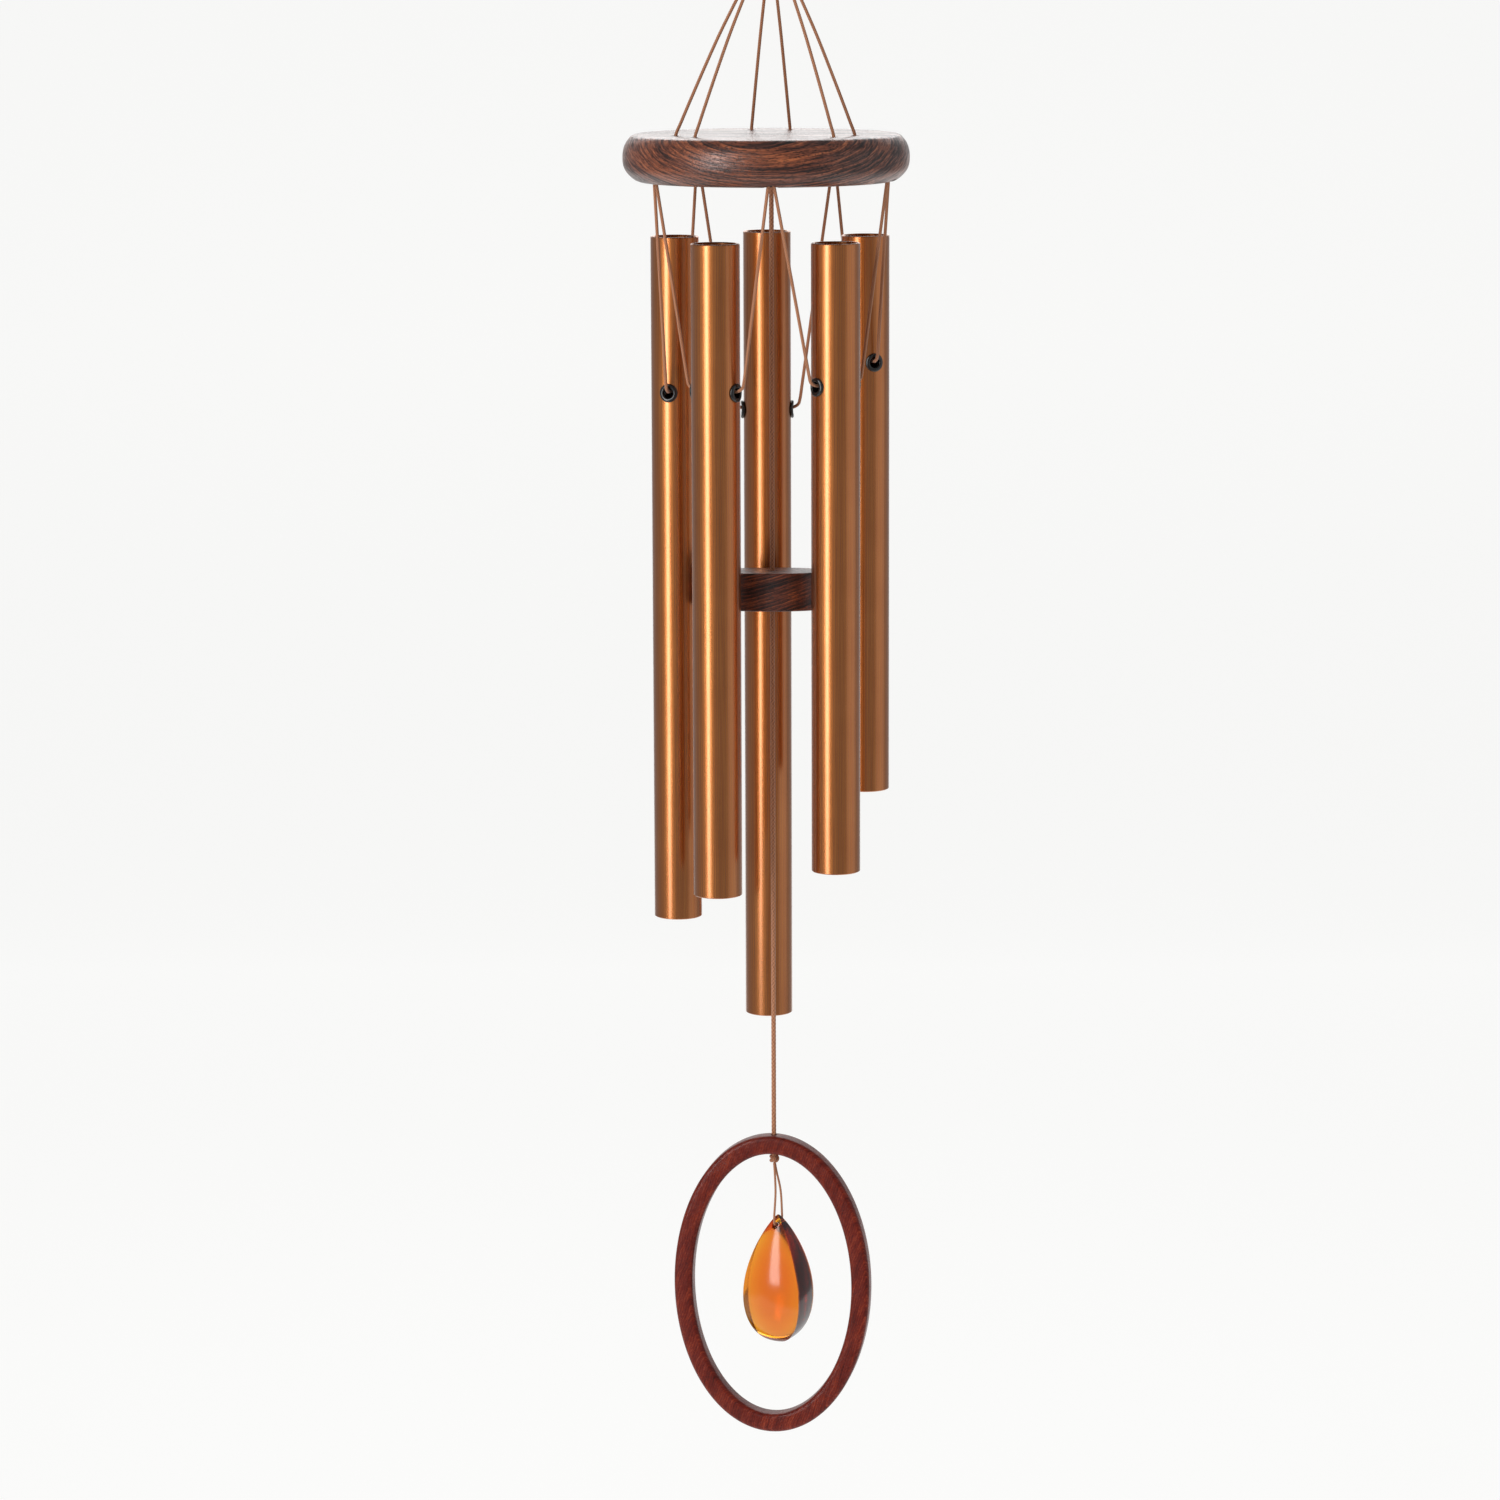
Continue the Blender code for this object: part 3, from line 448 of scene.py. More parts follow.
def lacquered_wood(name, colours, slant, gloss=0.28, size=1.0, contrast=1.0, shine=1.0, specular=0.45):
    """Stained open-grained wood under clear lacquer. The fibres run along the turned X, and the layers
    lie across the turned Z. Yearly rings are a saw wave 1.7 mm apart at size 1, and broad bands, narrow
    streaks and short dark pores are noise stretched along the fibres. To the eye: dark streaks, and a
    shine that the open grain breaks up."""
    made, tree, shader = coated(
        name, Roughness=0.42, Coat_Roughness=gloss, Coat_IOR=1.5, Specular_IOR_Level=specular
    )
    place = node(tree, "TexCoord")
    angles = tuple(math.radians(a) for a in slant)
    slanted = node(tree, "Mapping", {"Rotation": angles}, {"Vector": place.outputs["Object"]})
    slanted = slanted.outputs["Vector"]
    # The layers wander up and down by about 4 mm, over lengths of 30 mm.
    drift = node(tree, "TexNoise", {"Scale": 30.0 / size, "Detail": 3.0}, {"Vector": slanted})
    upward = {"operation": "MULTIPLY", 1: (0.0, 0.0, 0.0042 * size)}
    spread = node(tree, "VectorMath", upward, {0: drift.outputs["Color"]})
    waved = node(tree, "VectorMath", {"operation": "ADD"}, {0: slanted, 1: spread.outputs["Vector"]})

    def grain(along, over, through, detail):
        """Noise whose cells measure these lengths along the fibres, over the layer and through it."""
        stretch = tuple(1.0 / (length * size) for length in (along, over, through))
        scaled = node(tree, "Mapping", {"Scale": stretch}, {"Vector": waved.outputs["Vector"]})
        return node(tree, "TexNoise", {"Scale": 1.0, "Detail": detail}, {"Vector": scaled.outputs["Vector"]})

    def blend(first, share, second):
        """The first value times its share, plus the second."""
        added = node(tree, "Math", {"operation": "MULTIPLY_ADD", 1: share}, {0: first, 2: second})
        return added.outputs["Value"]

    bands = grain(0.070, 0.030, 0.0030, 2.0)
    streaks = grain(0.012, 0.0035, 0.00045, 5.0)
    pores = grain(0.0022, 0.00050, 0.00030, 2.0)
    # A wave of scale 1 repeats every pi / 10 metres.
    rings = node(
        tree, "TexWave", {
            "wave_type": "BANDS", "bands_direction": "Z", "wave_profile": "SAW", "Distortion": 0.0,
            "Scale": math.pi / 10.0 / (0.0017 * size),
        }, {"Vector": waved.outputs["Vector"]},
    )
    ringed = blend(rings.outputs["Fac"], 0.28, blend(streaks.outputs["Fac"], 1.0, bands.outputs["Fac"]))
    # The sum lies round 1.14, and contrast says how narrow a part of it takes all the stain's colours.
    taken = {"From Min": 1.14 - 0.36 / contrast, "From Max": 1.14 + 0.36 / contrast}
    depth = node(tree, "MapRange", taken, {"Value": ringed})
    stain = node(tree, "ValToRGB", {"stops": colours}, {"Fac": depth.outputs["Result"]})
    pore = {"From Min": 0.36, "From Max": 0.50, "To Min": 1.0 - 0.72 * contrast, "To Max": 1.0}
    shut = node(tree, "MapRange", pore, {"Value": pores.outputs["Fac"]})
    dark = node(
        tree, "MixRGB", {"blend_type": "MULTIPLY", "Fac": 1.0},
        {"Color1": stain.outputs["Color"], "Color2": shut.outputs["Result"]},
    )
    tree.links.new(dark.outputs["Color"], shader.inputs["Base Color"])
    # The lacquer sinks into the dark grain, and shines less there.
    closed = blend(depth.outputs["Result"], 0.6, streaks.outputs["Fac"])
    closed = blend(shut.outputs["Result"], 0.45, closed)
    gleam = {"From Min": 0.9, "From Max": 1.5, "To Min": shine * (1.0 - 0.8 * contrast), "To Max": shine}
    filled = node(tree, "MapRange", gleam, {"Value": closed})
    tree.links.new(filled.outputs["Result"], shader.inputs["Coat Weight"])
    relief = blend(streaks.outputs["Fac"], 1.3, shut.outputs["Result"])
    hollow = node(tree, "Bump", {"Strength": 0.6 * contrast, "Distance": 0.00008}, {"Height": relief})
    tree.links.new(hollow.outputs["Normal"], shader.inputs["Normal"])
    sunk = node(tree, "Bump", {"Strength": 0.6 * contrast, "Distance": 0.00009}, {"Height": relief})
    tree.links.new(sunk.outputs["Normal"], shader.inputs["Coat Normal"])
    return made


# Dark red-brown stain: blackish layers, brown ones, and a few that glow orange-red.
DARK_STAIN = [(0.05, "1A0D0A"), (0.35, "482013"), (0.62, "834020"), (1.0, "BC6634")]
disc_wood = lacquered_wood("dark stained hardwood, gloss lacquer", DARK_STAIN, (-30.0, 0.0, 0.0))


def lace_hole(angle):
    """The middle of the lacing hole at this angle round the chime. Each was drilled a little off."""
    turn = math.radians(angle)
    return np.array([LACE_CIRCLE * math.cos(turn) + LACE_DRIFT[angle], LACE_CIRCLE * math.sin(turn)])


def turned_grid(profile, steps, middle=(0.0, 0.0, 0.0)):
    """A profile of (radius, height) pairs carried round a standing axis: x is radius * cos(turn), y is
    radius * sin(turn) and z is the height."""
    radius, height = np.array(profile, float).T[:, :, None]
    turn = np.linspace(0.0, 2 * math.pi, steps, endpoint=False)[None, :]
    parts = np.broadcast_arrays(radius * np.cos(turn), radius * np.sin(turn), height)
    return np.stack(parts, axis=-1) + np.array(middle)


def drilled(piece, tools):
    """Takes closed tools out of a piece, and keeps the result as the piece's own mesh."""
    for tool in tools:
        modifier = piece.modifiers.new("hole", "BOOLEAN")
        modifier.operation, modifier.solver, modifier.object = "DIFFERENCE", "EXACT", tool
    bpy.context.view_layer.update()
    done = bpy.data.meshes.new_from_object(piece.evaluated_get(bpy.context.evaluated_depsgraph_get()))
    piece.modifiers.clear()
    piece.data = done
    done.set_sharp_from_angle(angle=math.radians(40.0))
    for tool in tools:
        bpy.data.objects.remove(tool)


def drill(middle, profile, paint, matrix=np.eye(3)):
    """A closed cutting tool turned from (radius, height) pairs about a point."""
    return skin("drill", turned_grid(profile, 40) @ matrix.T + np.array(middle), paint, capped=True)


# A tool's profile starts a hair off its axis, reaches past the wood, and flares where it breaks a face.
OFF_AXIS = 0.00001
PAST = 0.002
FLARE = 0.0003


def blind_hole(radius, depth):
    """The profile of a hole from a lower face, at height 0, up to its flat floor."""
    return [
        (OFF_AXIS, -PAST), (radius + FLARE, -PAST), (radius + FLARE, 0.0), (radius, FLARE), (radius, depth),
        (OFF_AXIS, depth),
    ]


def stepped_hole(recess, depth, radius, thickness):
    """The profile of a recess from a lower face, at height 0, with a narrower hole on through the wood."""
    return [
        *blind_hole(recess, depth)[:-1], (radius, depth), (radius, thickness - FLARE),
        (radius + FLARE, thickness), (radius + FLARE, thickness + PAST), (OFF_AXIS, thickness + PAST),
    ]


def straight_hole(radius, low, high):
    """The profile of a plain round hole between two heights."""
    return [(OFF_AXIS, low), (radius, low), (radius, high), (OFF_AXIS, high)]


share = np.linspace(0.0, 1.0, 41)
draw = np.where(share < 0.5, RIM_DRAW_TOP, RIM_DRAW_BOTTOM) * np.abs(2 * share - 1) ** 2.6
rim = np.stack([DISC_RADIUS - draw, disc_top - share * DISC_THICKNESS], axis=-1)
# Each edge is sanded in by half a millimetre.
rim[[0, -1], 0] -= RIM_EDGE
top = np.array([(0.0002, disc_top), (0.02, disc_top), (0.04, disc_top)])
under = np.array([(0.04, disc_bottom), (0.02, disc_bottom), (0.0002, disc_bottom)])
disc_grid = turned_grid(np.vstack([top, rim, under]), 180, (DISC_X, 0.0, 0.0))
disc = skin("turned_disc", disc_grid, disc_wood, capped=True)
loop_hole = stepped_hole(KNOT_RECESS, KNOT_RECESS_DEPTH, LOOP_HOLE, DISC_THICKNESS)
knot_seat = blind_hole(KNOT_RECESS, KNOT_RECESS_DEPTH)
tools = [drill((0.0, 0.0, disc_bottom), knot_seat, disc_wood)]
for angle, _ in LOOPS.values():
    tools += [drill((x, y, disc_bottom), loop_hole, disc_wood) for x, y in loop_holes(angle)]
for angle in LACE_DRIFT:
    tools.append(drill((*lace_hole(angle), disc_bottom), blind_hole(LACE_HOLE, LACE_HOLE_DEPTH), disc_wood))
drilled(disc, tools)
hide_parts("top_disc")
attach(disc, "platform")


# ---- Tube cords: one braid to each tube. It leaves a hole under the disc, goes in through one grommet,
# across the tube's bore and out of the other grommet, and back up to the next hole.

TUBE_OUTER = 0.01905
TUBE_WALL = 0.0012
LACE_OFFSET = 0.0010  # two cords share a hole, each this far towards its own tube


def lacing_side(out, across, drop):
    """Half of a tube's cord, from its hole down to the tube, as distances out, across and down from the
    hinge. The outward part shrinks evenly to nothing at the tube."""
    face = TUBE_OUTER / 2
    turn_in = face + 0.0036
    lean = (across - turn_in) / (drop - 0.0045)
    far, height = np.array([
        (across, 0.0),
        (across - 0.0010 * lean, -0.0010),
        (across - 0.012 * lean, -0.012),
        (across - 0.55 * drop * lean, -0.55 * drop),
        (turn_in + 0.005 * lean, -drop + 0.0090),
        (turn_in, -drop + 0.0042),
        (turn_in - 0.0007, -drop + 0.0020),
        (face + 0.0008, -drop + 0.0007),
        (face - 0.0022, -drop + 0.0004),
    ]).T
    return np.stack([out * np.maximum(0.0, 1.0 + height / (drop - 0.006)), far, height], axis=-1)


for number, angle in TUBE_ANGLES.items():
    a = math.radians(angle)
    out, beside = np.array([math.cos(a), math.sin(a)]), np.array([-math.sin(a), math.cos(a)])
    hinge = joints[f"tube_{number}_cord_swing"]
    drop = hinge[2] - joints[f"tube_{number}_tilt"][2]
    halves = []
    for side in (-1, 1):
        hole = lace_hole(round((angle + side * HALF_STEP) % 360.0, 1)) - hinge[:2]
        halves.append(lacing_side(hole @ out, side * (hole @ beside) - LACE_OFFSET, drop) * (1, side, 1))
    flat = np.vstack([halves[0], [(0.0, 0.0, -drop + 0.0003)], halves[1][::-1]])
    route = hinge + np.hstack([flat[:, :1] * out + flat[:, 1:2] * beside, flat[:, 2:]])
    cord, path, length = braided(f"lacing_{number}", route, CORD, (*out, 0.0))
    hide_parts(f"tube_{number}_cord")
    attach(cord, f"tube_{number}_cord")


# ---- Tubes: drawn aluminium, brushed along its length and anodised bronze, with the ends faced square and
# lightly broken. Each has two side holes at its node, 22.4 % down, where it rings free.

TUBE_EDGE = 0.0003
SIDE_HOLE = 0.0030

# Anodised aluminium: a warm metal that blurs what it mirrors sideways, with faint lengthwise lines. They
# are drawn 0.24 mm apart, several times coarser than real brush lines, so that they show.
bronze, tree, shader = coated(
    "bronze anodised aluminium, brushed", Metallic=1.0, Roughness=0.27, Anisotropic=0.6, Coat_Weight=1.0,
    Coat_Roughness=0.2, Coat_IOR=1.52,
)
place = node(tree, "TexCoord")
long_lines = node(tree, "Mapping", {"Scale": (4200.0, 4200.0, 22.0)}, {"Vector": place.outputs["Object"]})
brushed = node(tree, "TexNoise", {"Scale": 1.0, "Detail": 3.0}, {"Vector": long_lines.outputs["Vector"]})
cloud = node(tree, "TexNoise", {"Scale": 60.0, "Detail": 2.0}, {"Vector": place.outputs["Object"]})
uneven = node(
    tree, "Math", {"operation": "MULTIPLY_ADD", 1: 0.35}, {0: cloud.outputs["Fac"], 2: brushed.outputs["Fac"]}
)
BRONZE_TINTS = [(0.40, "AC6229"), (0.67, "B86D31"), (0.95, "C2783B")]
tint = node(tree, "ValToRGB", {"stops": BRONZE_TINTS}, {"Fac": uneven.outputs["Value"]})
tree.links.new(tint.outputs["Color"], shader.inputs["Base Color"])
rough = node(
    tree, "MapRange", {"From Min": 0.3, "From Max": 0.7, "To Min": 0.24, "To Max": 0.31},
    {"Value": brushed.outputs["Fac"]},
)
tree.links.new(rough.outputs["Result"], shader.inputs["Roughness"])
lines = node(tree, "Bump", {"Strength": 0.12, "Distance": 0.00001}, {"Height": brushed.outputs["Fac"]})
tree.links.new(lines.outputs["Normal"], shader.inputs["Normal"])

# Moulded rubber: deep black with a soft shine, faintly orange-peeled.
rubber, tree, shader = coated("moulded black rubber", Roughness=0.22, Specular_IOR_Level=0.7)
place = node(tree, "TexCoord")
peel = node(tree, "TexNoise", {"Scale": 2200.0, "Detail": 2.0}, {"Vector": place.outputs["Object"]})
shade = node(tree, "ValToRGB", {"stops": [(0.3, "08080A"), (0.7, "141415")]}, {"Fac": peel.outputs["Fac"]})
tree.links.new(shade.outputs["Color"], shader.inputs["Base Color"])
peeled = node(tree, "Bump", {"Strength": 0.2, "Distance": 0.00003}, {"Height": peel.outputs["Fac"]})
tree.links.new(peeled.outputs["Normal"], shader.inputs["Normal"])


def grommet_grid():
    """A grommet about +Y from the tube's middle. Its section runs from the neck inside the tube's wall out
    round the rolled lip and back down the bore. Each point of the lip is let down by the fall of the
    tube's round wall at that distance to the side: R - sqrt(R^2 - x^2)."""
    radius = TUBE_OUTER / 2
    bore, neck, lip, roll = 0.0020, 0.0027, 0.00365, 0.0011
    curl = np.linspace(-0.15 * math.pi, 1.0 * math.pi, 14)
    middle, half = (lip + bore) / 2, (lip - bore) / 2
    lift = radius + roll * (0.45 + 0.55 * np.sin(curl))
    rolled = np.stack([middle + half * np.cos(curl), lift], axis=-1)
    inside = radius - TUBE_WALL - 0.0009
    barb = neck + 0.0003
    stem = [
        (bore, inside), (barb, inside), (barb, inside + 0.0004), (neck, inside + 0.0006),
        (neck, radius + 0.00005),
    ]
    section = np.vstack([stem, rolled, [(bore, radius - 0.0004)]])
    turn = np.linspace(0.0, 2 * math.pi, 48, endpoint=False)[None, :]
    reach, out = section[:, :1], section[:, 1:]
    x, z = reach * np.cos(turn), reach * np.sin(turn)
    fall = radius - np.sqrt(radius**2 - x**2)
    return np.stack([x, out - fall, z], axis=-1)


def tube_profile(low, high, hole_z):
    """A tube's wall as (radius, height) pairs: up its bore, over its broken upper edges, down its outside
    and round its lower edges. Rows stand close together round the side holes."""
    near = [hole_z - 0.010, *(hole_z + np.arange(-5, 6) * 0.001), hole_z + 0.010]
    wall_in, wall_out, edge = TUBE_OUTER / 2 - TUBE_WALL, TUBE_OUTER / 2, TUBE_EDGE
    return [
        (wall_in, low + edge), *[(wall_in, z) for z in near], (wall_in, high - edge), (wall_in + edge, high),
        (wall_out - edge, high), (wall_out, high - edge), *[(wall_out, z) for z in near[::-1]],
        (wall_out, low + edge), (wall_out - edge, low), (wall_in + edge, low),
    ]


# Lays a standing tool down along Y.
LYING = np.array([[1.0, 0.0, 0.0], [0.0, 0.0, 1.0], [0.0, -1.0, 0.0]])
for number, angle in TUBE_ANGLES.items():
    low, high = (corner[2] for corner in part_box(f"tube_{number}"))
    hinge = joints[f"tube_{number}_tilt"]
    tube_grid = turned_grid(tube_profile(low, high, hinge[2]), 96, (hinge[0], hinge[1], 0.0))
    tube = skin(f"bronze_tube_{number}", tube_grid, bronze, loop=True)
    facing = rotation(2, math.radians(angle))
    across_tube = straight_hole(SIDE_HOLE, -0.015, 0.015)
    drilled(tube, [drill(hinge, across_tube, bronze, facing @ LYING)])
    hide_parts(f"tube_{number}")
    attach(tube, f"tube_{number}")
    for word, way in (("a", -1.0), ("b", 1.0)):
        grid = grommet_grid() * np.array([1.0, way, 1.0])
        bush = skin(f"rubber_grommet_{number}{word}", grid @ facing.T + hinge, rubber, loop=True)
        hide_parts(f"tube_{number}_grommet_{word}")
        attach(bush, f"tube_{number}")


# ---- Middle line and clapper: a thicker braid from a knot in the disc's underside to a knot under the
# clapper, a small turned disc that hangs between the tubes, a little tipped, and strikes them.

LINE = 0.0019
LINE_KNOT = 0.0036
LINE_KNOT_CORD = 0.0012
LINE_KNOT_LEAN = 0.4
CLAPPER_RADIUS = 0.0225
CLAPPER_THICKNESS = 0.015
CLAPPER_TILT = math.radians(4.5)
CLAPPER_EDGE = 0.0007
CLAPPER_RECESS = 0.0032
CLAPPER_RECESS_DEPTH = 0.006
CLAPPER_HOLE = 0.0019
CLAPPER_KNOT_RISE = 0.0026  # from the clapper's underside up to the middle of the knot in its recess
knot_top, knot_low = joints["clapper_swing"], joints["sail_swing"]
clapper_top = knot_low[2] + CLAPPER_THICKNESS - CLAPPER_KNOT_RISE
clapper_middle = np.array([0.0, 0.0, clapper_top - CLAPPER_THICKNESS / 2])

knots = {}
hangers = (("line_knot", knot_top, "clapper_hanger"), ("clapper_knot", knot_low, "sail_hanger"))
for name, middle, body in hangers:
    knots[name] = tight_knot("tied_" + name, middle, LINE_KNOT, LINE_KNOT_CORD, LINE_KNOT_LEAN)
    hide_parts(name)
    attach(knots[name], body)

# The sail line ends a tenth of a millimetre inside the sail's hole.
clear = LINE_KNOT / 2 + CORD_GAP
stretches = (
    ("clapper_line", knot_top[2] - clear, knot_low[2] + clear, "clapper", "line_knot"),
    ("sail_line", knot_low[2] - clear, joints["sail_tilt"][2] - 0.0001, "sail_line", "clapper_knot"),
)
for name, top, bottom, body, knot in stretches:
    points = [(0.0, 0.0, z) for z in (top, (top + bottom) / 2, bottom)]
    cord, path, length = braided("middle_" + name, points, LINE, (1.0, 0.0, 0.0), steps=24, fine=0.00026)
    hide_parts(name)
    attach(cord, body)

# The same wood and lacquer as the disc, from a darker board with closer grain.
CLAPPER_STAIN = [(0.0, "150B0A"), (0.4, "411D14"), (0.66, "6E331E"), (1.0, "A2552F")]
clapper_wood = lacquered_wood(
    "dark stained clapper wood, gloss lacquer", CLAPPER_STAIN, (0.0, 16.0, 0.0), size=0.8, shine=0.35
)
half = CLAPPER_THICKNESS / 2
corner = np.radians([90.0, 67.0, 45.0, 23.0, 0.0])
upper = np.stack([np.cos(corner), np.sin(corner)], axis=-1) * CLAPPER_EDGE
upper += (CLAPPER_RADIUS - CLAPPER_EDGE, half - CLAPPER_EDGE)
lower = upper[::-1] * np.array([1.0, -1.0])
profile = np.vstack([[(0.0002, half), (0.010, half)], upper, lower, [(0.010, -half), (0.0002, -half)]])
tipped = rotation(0, -CLAPPER_TILT)
clapper_grid = turned_grid(profile, 144) @ tipped.T + clapper_middle
clapper = skin("turned_clapper", clapper_grid, clapper_wood, capped=True)
bore = stepped_hole(CLAPPER_RECESS, CLAPPER_RECESS_DEPTH, CLAPPER_HOLE, CLAPPER_THICKNESS)
bore = np.array(bore) - (0.0, half)
drilled(clapper, [drill(clapper_middle, bore, clapper_wood, tipped)])
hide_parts("clapper")
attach(clapper, "clapper")


# ---- Sail: an oval ring sawn from a board, its edges rounded over, stained mahogany red and lacquered. It
# hangs by a small hole through the top of its rim, and the wind turns and swings it.

SAIL_TURN = math.radians(-10.0)
SAIL_WIDTH = 0.080
SAIL_HEIGHT = 0.1232
SAIL_BAND = 0.0075
SAIL_SHIFT = -0.0006  # it hangs this far off the line, since the drop hangs off it the other way
SAIL_DEPTH = 0.0084
SAIL_EDGE = 0.0018
SAIL_HOLE = 0.0013

# Mahogany red stain over fine grain: an even red-brown with short faint streaks.
RED_STAIN = [(0.0, "3C0A05"), (0.5, "701A0A"), (1.0, "A43C1A")]
sail_wood = lacquered_wood(
    "mahogany red hardwood, gloss lacquer", RED_STAIN, (80.0, 20.0, 0.0), gloss=0.13, size=0.3,
    contrast=0.7, shine=0.55, specular=0.1,
)
# The section is an oblong with a quarter circle at each corner.
section = []
for out, deep, start in ((1, 1, 0.0), (-1, 1, 90.0), (-1, -1, 180.0), (1, -1, 270.0)):
    quarter = np.radians(np.linspace(start, start + 90.0, 7))
    section.append(np.stack([
        out * (SAIL_BAND / 2 - SAIL_EDGE) + SAIL_EDGE * np.cos(quarter),
        deep * (SAIL_DEPTH / 2 - SAIL_EDGE) + SAIL_EDGE * np.sin(quarter),
    ], axis=-1))
section = np.vstack(section)
# It is carried round an oval (a sin t, b cos t), and out from it along (b sin t, a cos t), where a is the
# half width and b the half height.
wide, tall = (SAIL_WIDTH - SAIL_BAND) / 2, (SAIL_HEIGHT - SAIL_BAND) / 2
t = np.linspace(0.0, 2 * math.pi, 240, endpoint=False)
middle = np.stack([SAIL_SHIFT + wide * np.sin(t), 0 * t, tall * np.cos(t) - SAIL_HEIGHT / 2], axis=-1)
out = np.stack([tall * np.sin(t), 0 * t, wide * np.cos(t)], axis=-1)
out /= np.linalg.norm(out, axis=1)[:, None]
grid = middle[:, None] + section[None, :, :1] * out[:, None] + section[None, :, 1:] * [0.0, 1.0, 0.0]
sail = skin("oval_sail", grid @ rotation(2, SAIL_TURN).T + joints["sail_tilt"], sail_wood, loop=True)
bore = straight_hole(SAIL_HOLE, -SAIL_BAND - PAST, PAST)
drilled(sail, [drill(joints["sail_tilt"], bore, sail_wood)])
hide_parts("sail_ring")
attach(sail, "sail")


# ---- Knot and loop: the line ends in a small wrapped knot inside the sail's top, and a loop of the finest
# braid goes down from the knot through the drop's hole and back up.

SAIL_KNOT = 0.0040
SAIL_KNOT_TURNS = 0.0004  # the knot's outer turns stand out this much
SAIL_KNOT_CORD = 0.0015
SAIL_KNOT_LEAN = 0.5
LOOP_CORD = 0.0009
DROP_TURN = math.radians(-25.0)
DROP_BELOW_SAIL_TOP = 0.0329
DROP_HOLE_DROP = 0.0042  # from the tip down to the hole's axis
DROP_SHIFT = np.array([0.0016, 0.0, 0.0])  # the loop leaves the knot at its side
sail_top, drop_hinge = joints["sail_tilt"], joints["drop_swing"]
drop_facing = rotation(2, DROP_TURN)

knot_size = SAIL_KNOT + SAIL_KNOT_TURNS
knot = tight_knot("tied_sail_knot", drop_hinge, knot_size, SAIL_KNOT_CORD, SAIL_KNOT_LEAN)
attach(knot, "drop_hanger")
stem_top, stem_foot = sail_top[2] - CORD_GAP, drop_hinge[2]
stem_route = [(0.0, 0.0, z) for z in (stem_top, (stem_top + stem_foot) / 2, stem_foot)]
stem, _, _ = braided("line_end", stem_route, LINE, (1.0, 0.0, 0.0), steps=24)
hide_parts("sail_knot")
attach(stem, "drop_hanger")

# Half the loop, from inside the knot to the hole, and how far it stands from the drop's middle plane.
hole = sail_top[2] - DROP_BELOW_SAIL_TOP - DROP_HOLE_DROP - drop_hinge[2]
start = SAIL_KNOT / 2 - 0.0004
far, height = np.array([
    (0.0004, -start), (0.0008, -0.0052), (0.0024, 0.5 * hole), (0.0037, hole + 0.0040),
    (0.0038, hole + 0.0022), (0.0034, hole + 0.0008), (0.0020, hole + 0.0004),
]).T
hanging = DROP_SHIFT * np.minimum(1.0, height / (0.5 * hole))[:, None] + height[:, None] * [0.0, 0.0, 1.0]
front, back = hanging - far[:, None] * drop_facing[:, 1], hanging + far[:, None] * drop_facing[:, 1]
route = np.vstack([front, [DROP_SHIFT + (0.0, 0.0, hole + 0.0004)], back[::-1]]) + drop_hinge
loop, path, length = braided("fine_loop", route, LOOP_CORD, drop_facing[:, 0], steps=16, fine=0.00016)
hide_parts("drop_loop")
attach(loop, "drop")


# ---- Glass drop: amber glass pressed to a teardrop with gently domed faces and a band round its side,
# then polished. A hole near the tip takes the loop.

DROP_WIDTH = 0.0246
DROP_HEIGHT = 0.0530
DROP_SIDE = 0.0146
DROP_DOME = 0.0021
DROP_HOLE = 0.0013

# Amber glass: clear, with a slightly soft gloss. Its colour is painted from orange at the middle of each face
# to gold at its rim, painted light for the thinner glass there, and the side band, where one looks the long
# way through it, is painted a deep red-brown shade.
glass, tree, shader = coated("amber glass", Roughness=0.15, IOR=1.5, Transmission_Weight=1.0)
place = node(tree, "TexCoord")
ripple = node(tree, "TexNoise", {"Scale": 160.0, "Detail": 1.0}, {"Vector": place.outputs["Object"]})
pressed = node(tree, "Bump", {"Strength": 0.1, "Distance": 0.0004}, {"Height": ripple.outputs["Fac"]})
tree.links.new(pressed.outputs["Normal"], shader.inputs["Normal"])
# The colour is painted from this: lighter gold towards each face's rim, and dark shade on the side band.
painted_rim_and_band_shade = node(tree, "Attribute", {"attribute_name": "relief"})
streak_and_painted_light = node(
    tree, "Math", {"operation": "MULTIPLY_ADD", 1: 0.12}, {0: ripple.outputs["Fac"], 2: painted_rim_and_band_shade.outputs["Fac"]}
)
# Orange to gold is painted light towards the rim, and the last, dark stop is the side band's painted shade.
AMBERS_AND_BAND_SHADE = [(0.1, "E98826"), (0.5, "F3A02C"), (0.87, "FBC83C"), (1.0, "480E06")]
amber = node(tree, "ValToRGB", {"stops": AMBERS_AND_BAND_SHADE}, {"Fac": streak_and_painted_light.outputs["Value"]})
tree.links.new(amber.outputs["Color"], shader.inputs["Base Color"])
steeped = node(tree, "VolumeAbsorption", {"Color": tone("F5A030"), "Density": 50.0})
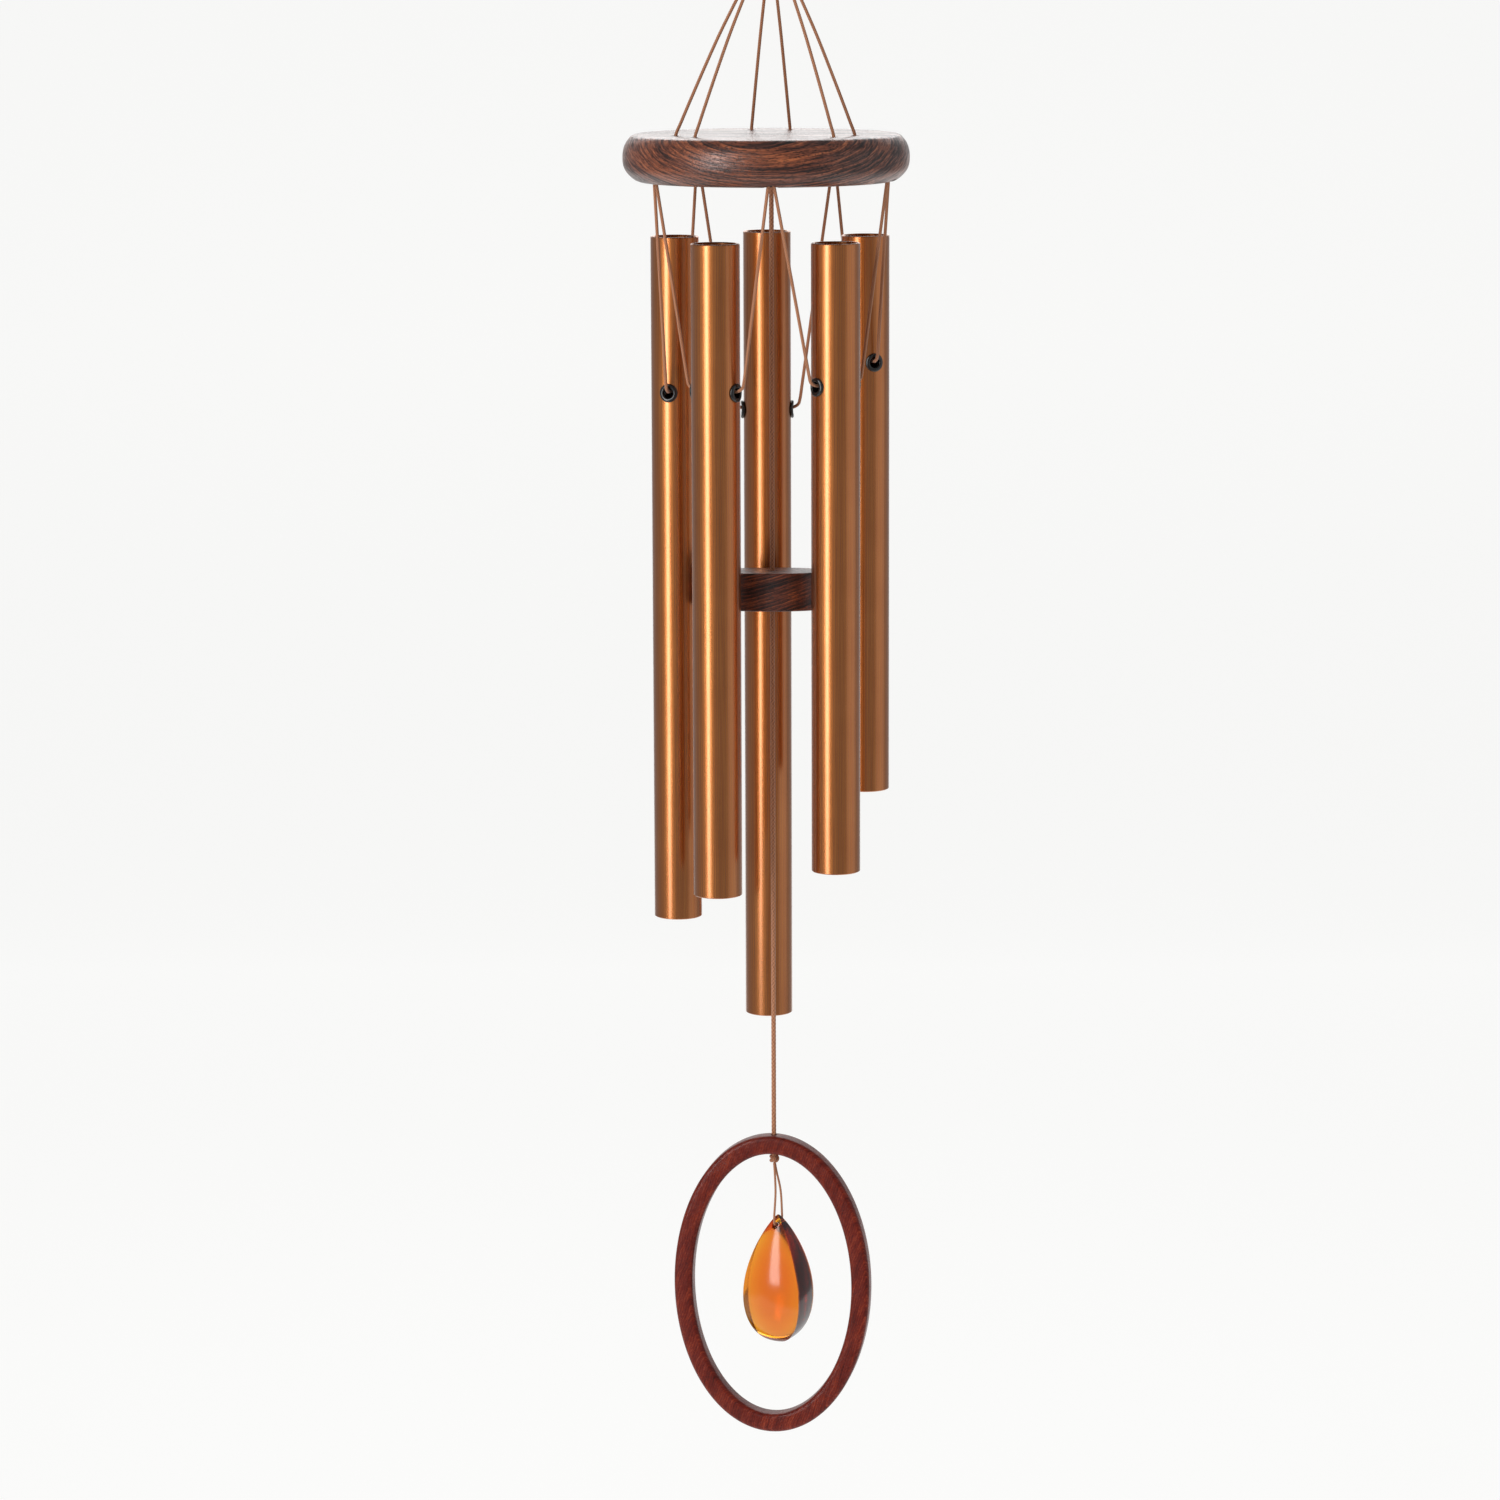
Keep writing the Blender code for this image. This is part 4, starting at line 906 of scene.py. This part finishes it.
tree.links.new(steeped.outputs["Volume"], tree.nodes["Material Output"].inputs["Volume"])


def drop_width(turn, power):
    """The teardrop rule, from 0 at the tip through 1 at its widest: sin(t) * sin(t / 2) ** power."""
    widest = math.acos(-power / (2 + power))
    peak = math.sin(widest) * math.sin(widest / 2) ** power
    return np.sin(turn) * np.sin(turn / 2) ** power / peak


# Down the drop by the turn t, its half width and half thickness follow the rule. Across each face u runs
# from edge to edge and the dome is 1 - u^2. Through the band v does, and the band bulges by 1 - v^2.
t = np.linspace(0.045 * math.pi, 0.975 * math.pi, 90)[:, None]
broad = DROP_WIDTH / 2 * drop_width(t, 0.75)
thick = DROP_SIDE / 2 * drop_width(t, 0.45)
dome = DROP_DOME * drop_width(t, 0.75)
u = np.linspace(-1.0, 1.0, 33)[None, :]
v = np.linspace(-1.0, 1.0, 11)[None, 1:-1]
face_x, face_y = broad * u, -(thick + dome * (1.0 - u**2))
band_x, band_y = broad + 0.05 * thick * (1.0 - v**2), thick * v
x = np.hstack([face_x, band_x, -face_x, -band_x])
y = np.hstack([face_y, band_y, -face_y, -band_y])
z = np.broadcast_to(-DROP_HEIGHT * (1.0 - np.cos(t)) / 2, x.shape)
tip = np.array([0.0, 0.0, hole + DROP_HOLE_DROP])
grid = (np.stack([x, y, z], axis=-1) + tip) @ drop_facing.T + DROP_SHIFT + drop_hinge
# How near each point is to the rim: 0 at the face's middle, 0.74 at its rim, and 1 on the band. It sets the
# painted light towards the rim and the painted shade on the band.
along = np.broadcast_to(-np.cos(t), face_x.shape)
painted_face_rim_light = np.minimum(0.74, 0.8 * np.sqrt(0.75 * u**2 + 0.5 * along**2))
painted_band_shade = np.ones_like(band_x)
painted_rim_and_band_shade = np.hstack([painted_face_rim_light, painted_band_shade, painted_face_rim_light[:, ::-1], painted_band_shade])
drop = skin("amber_drop", grid, glass, capped=True, relief=painted_rim_and_band_shade, sharp=30.0)
bore = straight_hole(DROP_HOLE, -0.010, 0.010)
drilled(drop, [drill(drop_hinge + DROP_SHIFT + [0.0, 0.0, hole], bore, glass, drop_facing @ LYING)])
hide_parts("glass_drop")
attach(drop, "drop")
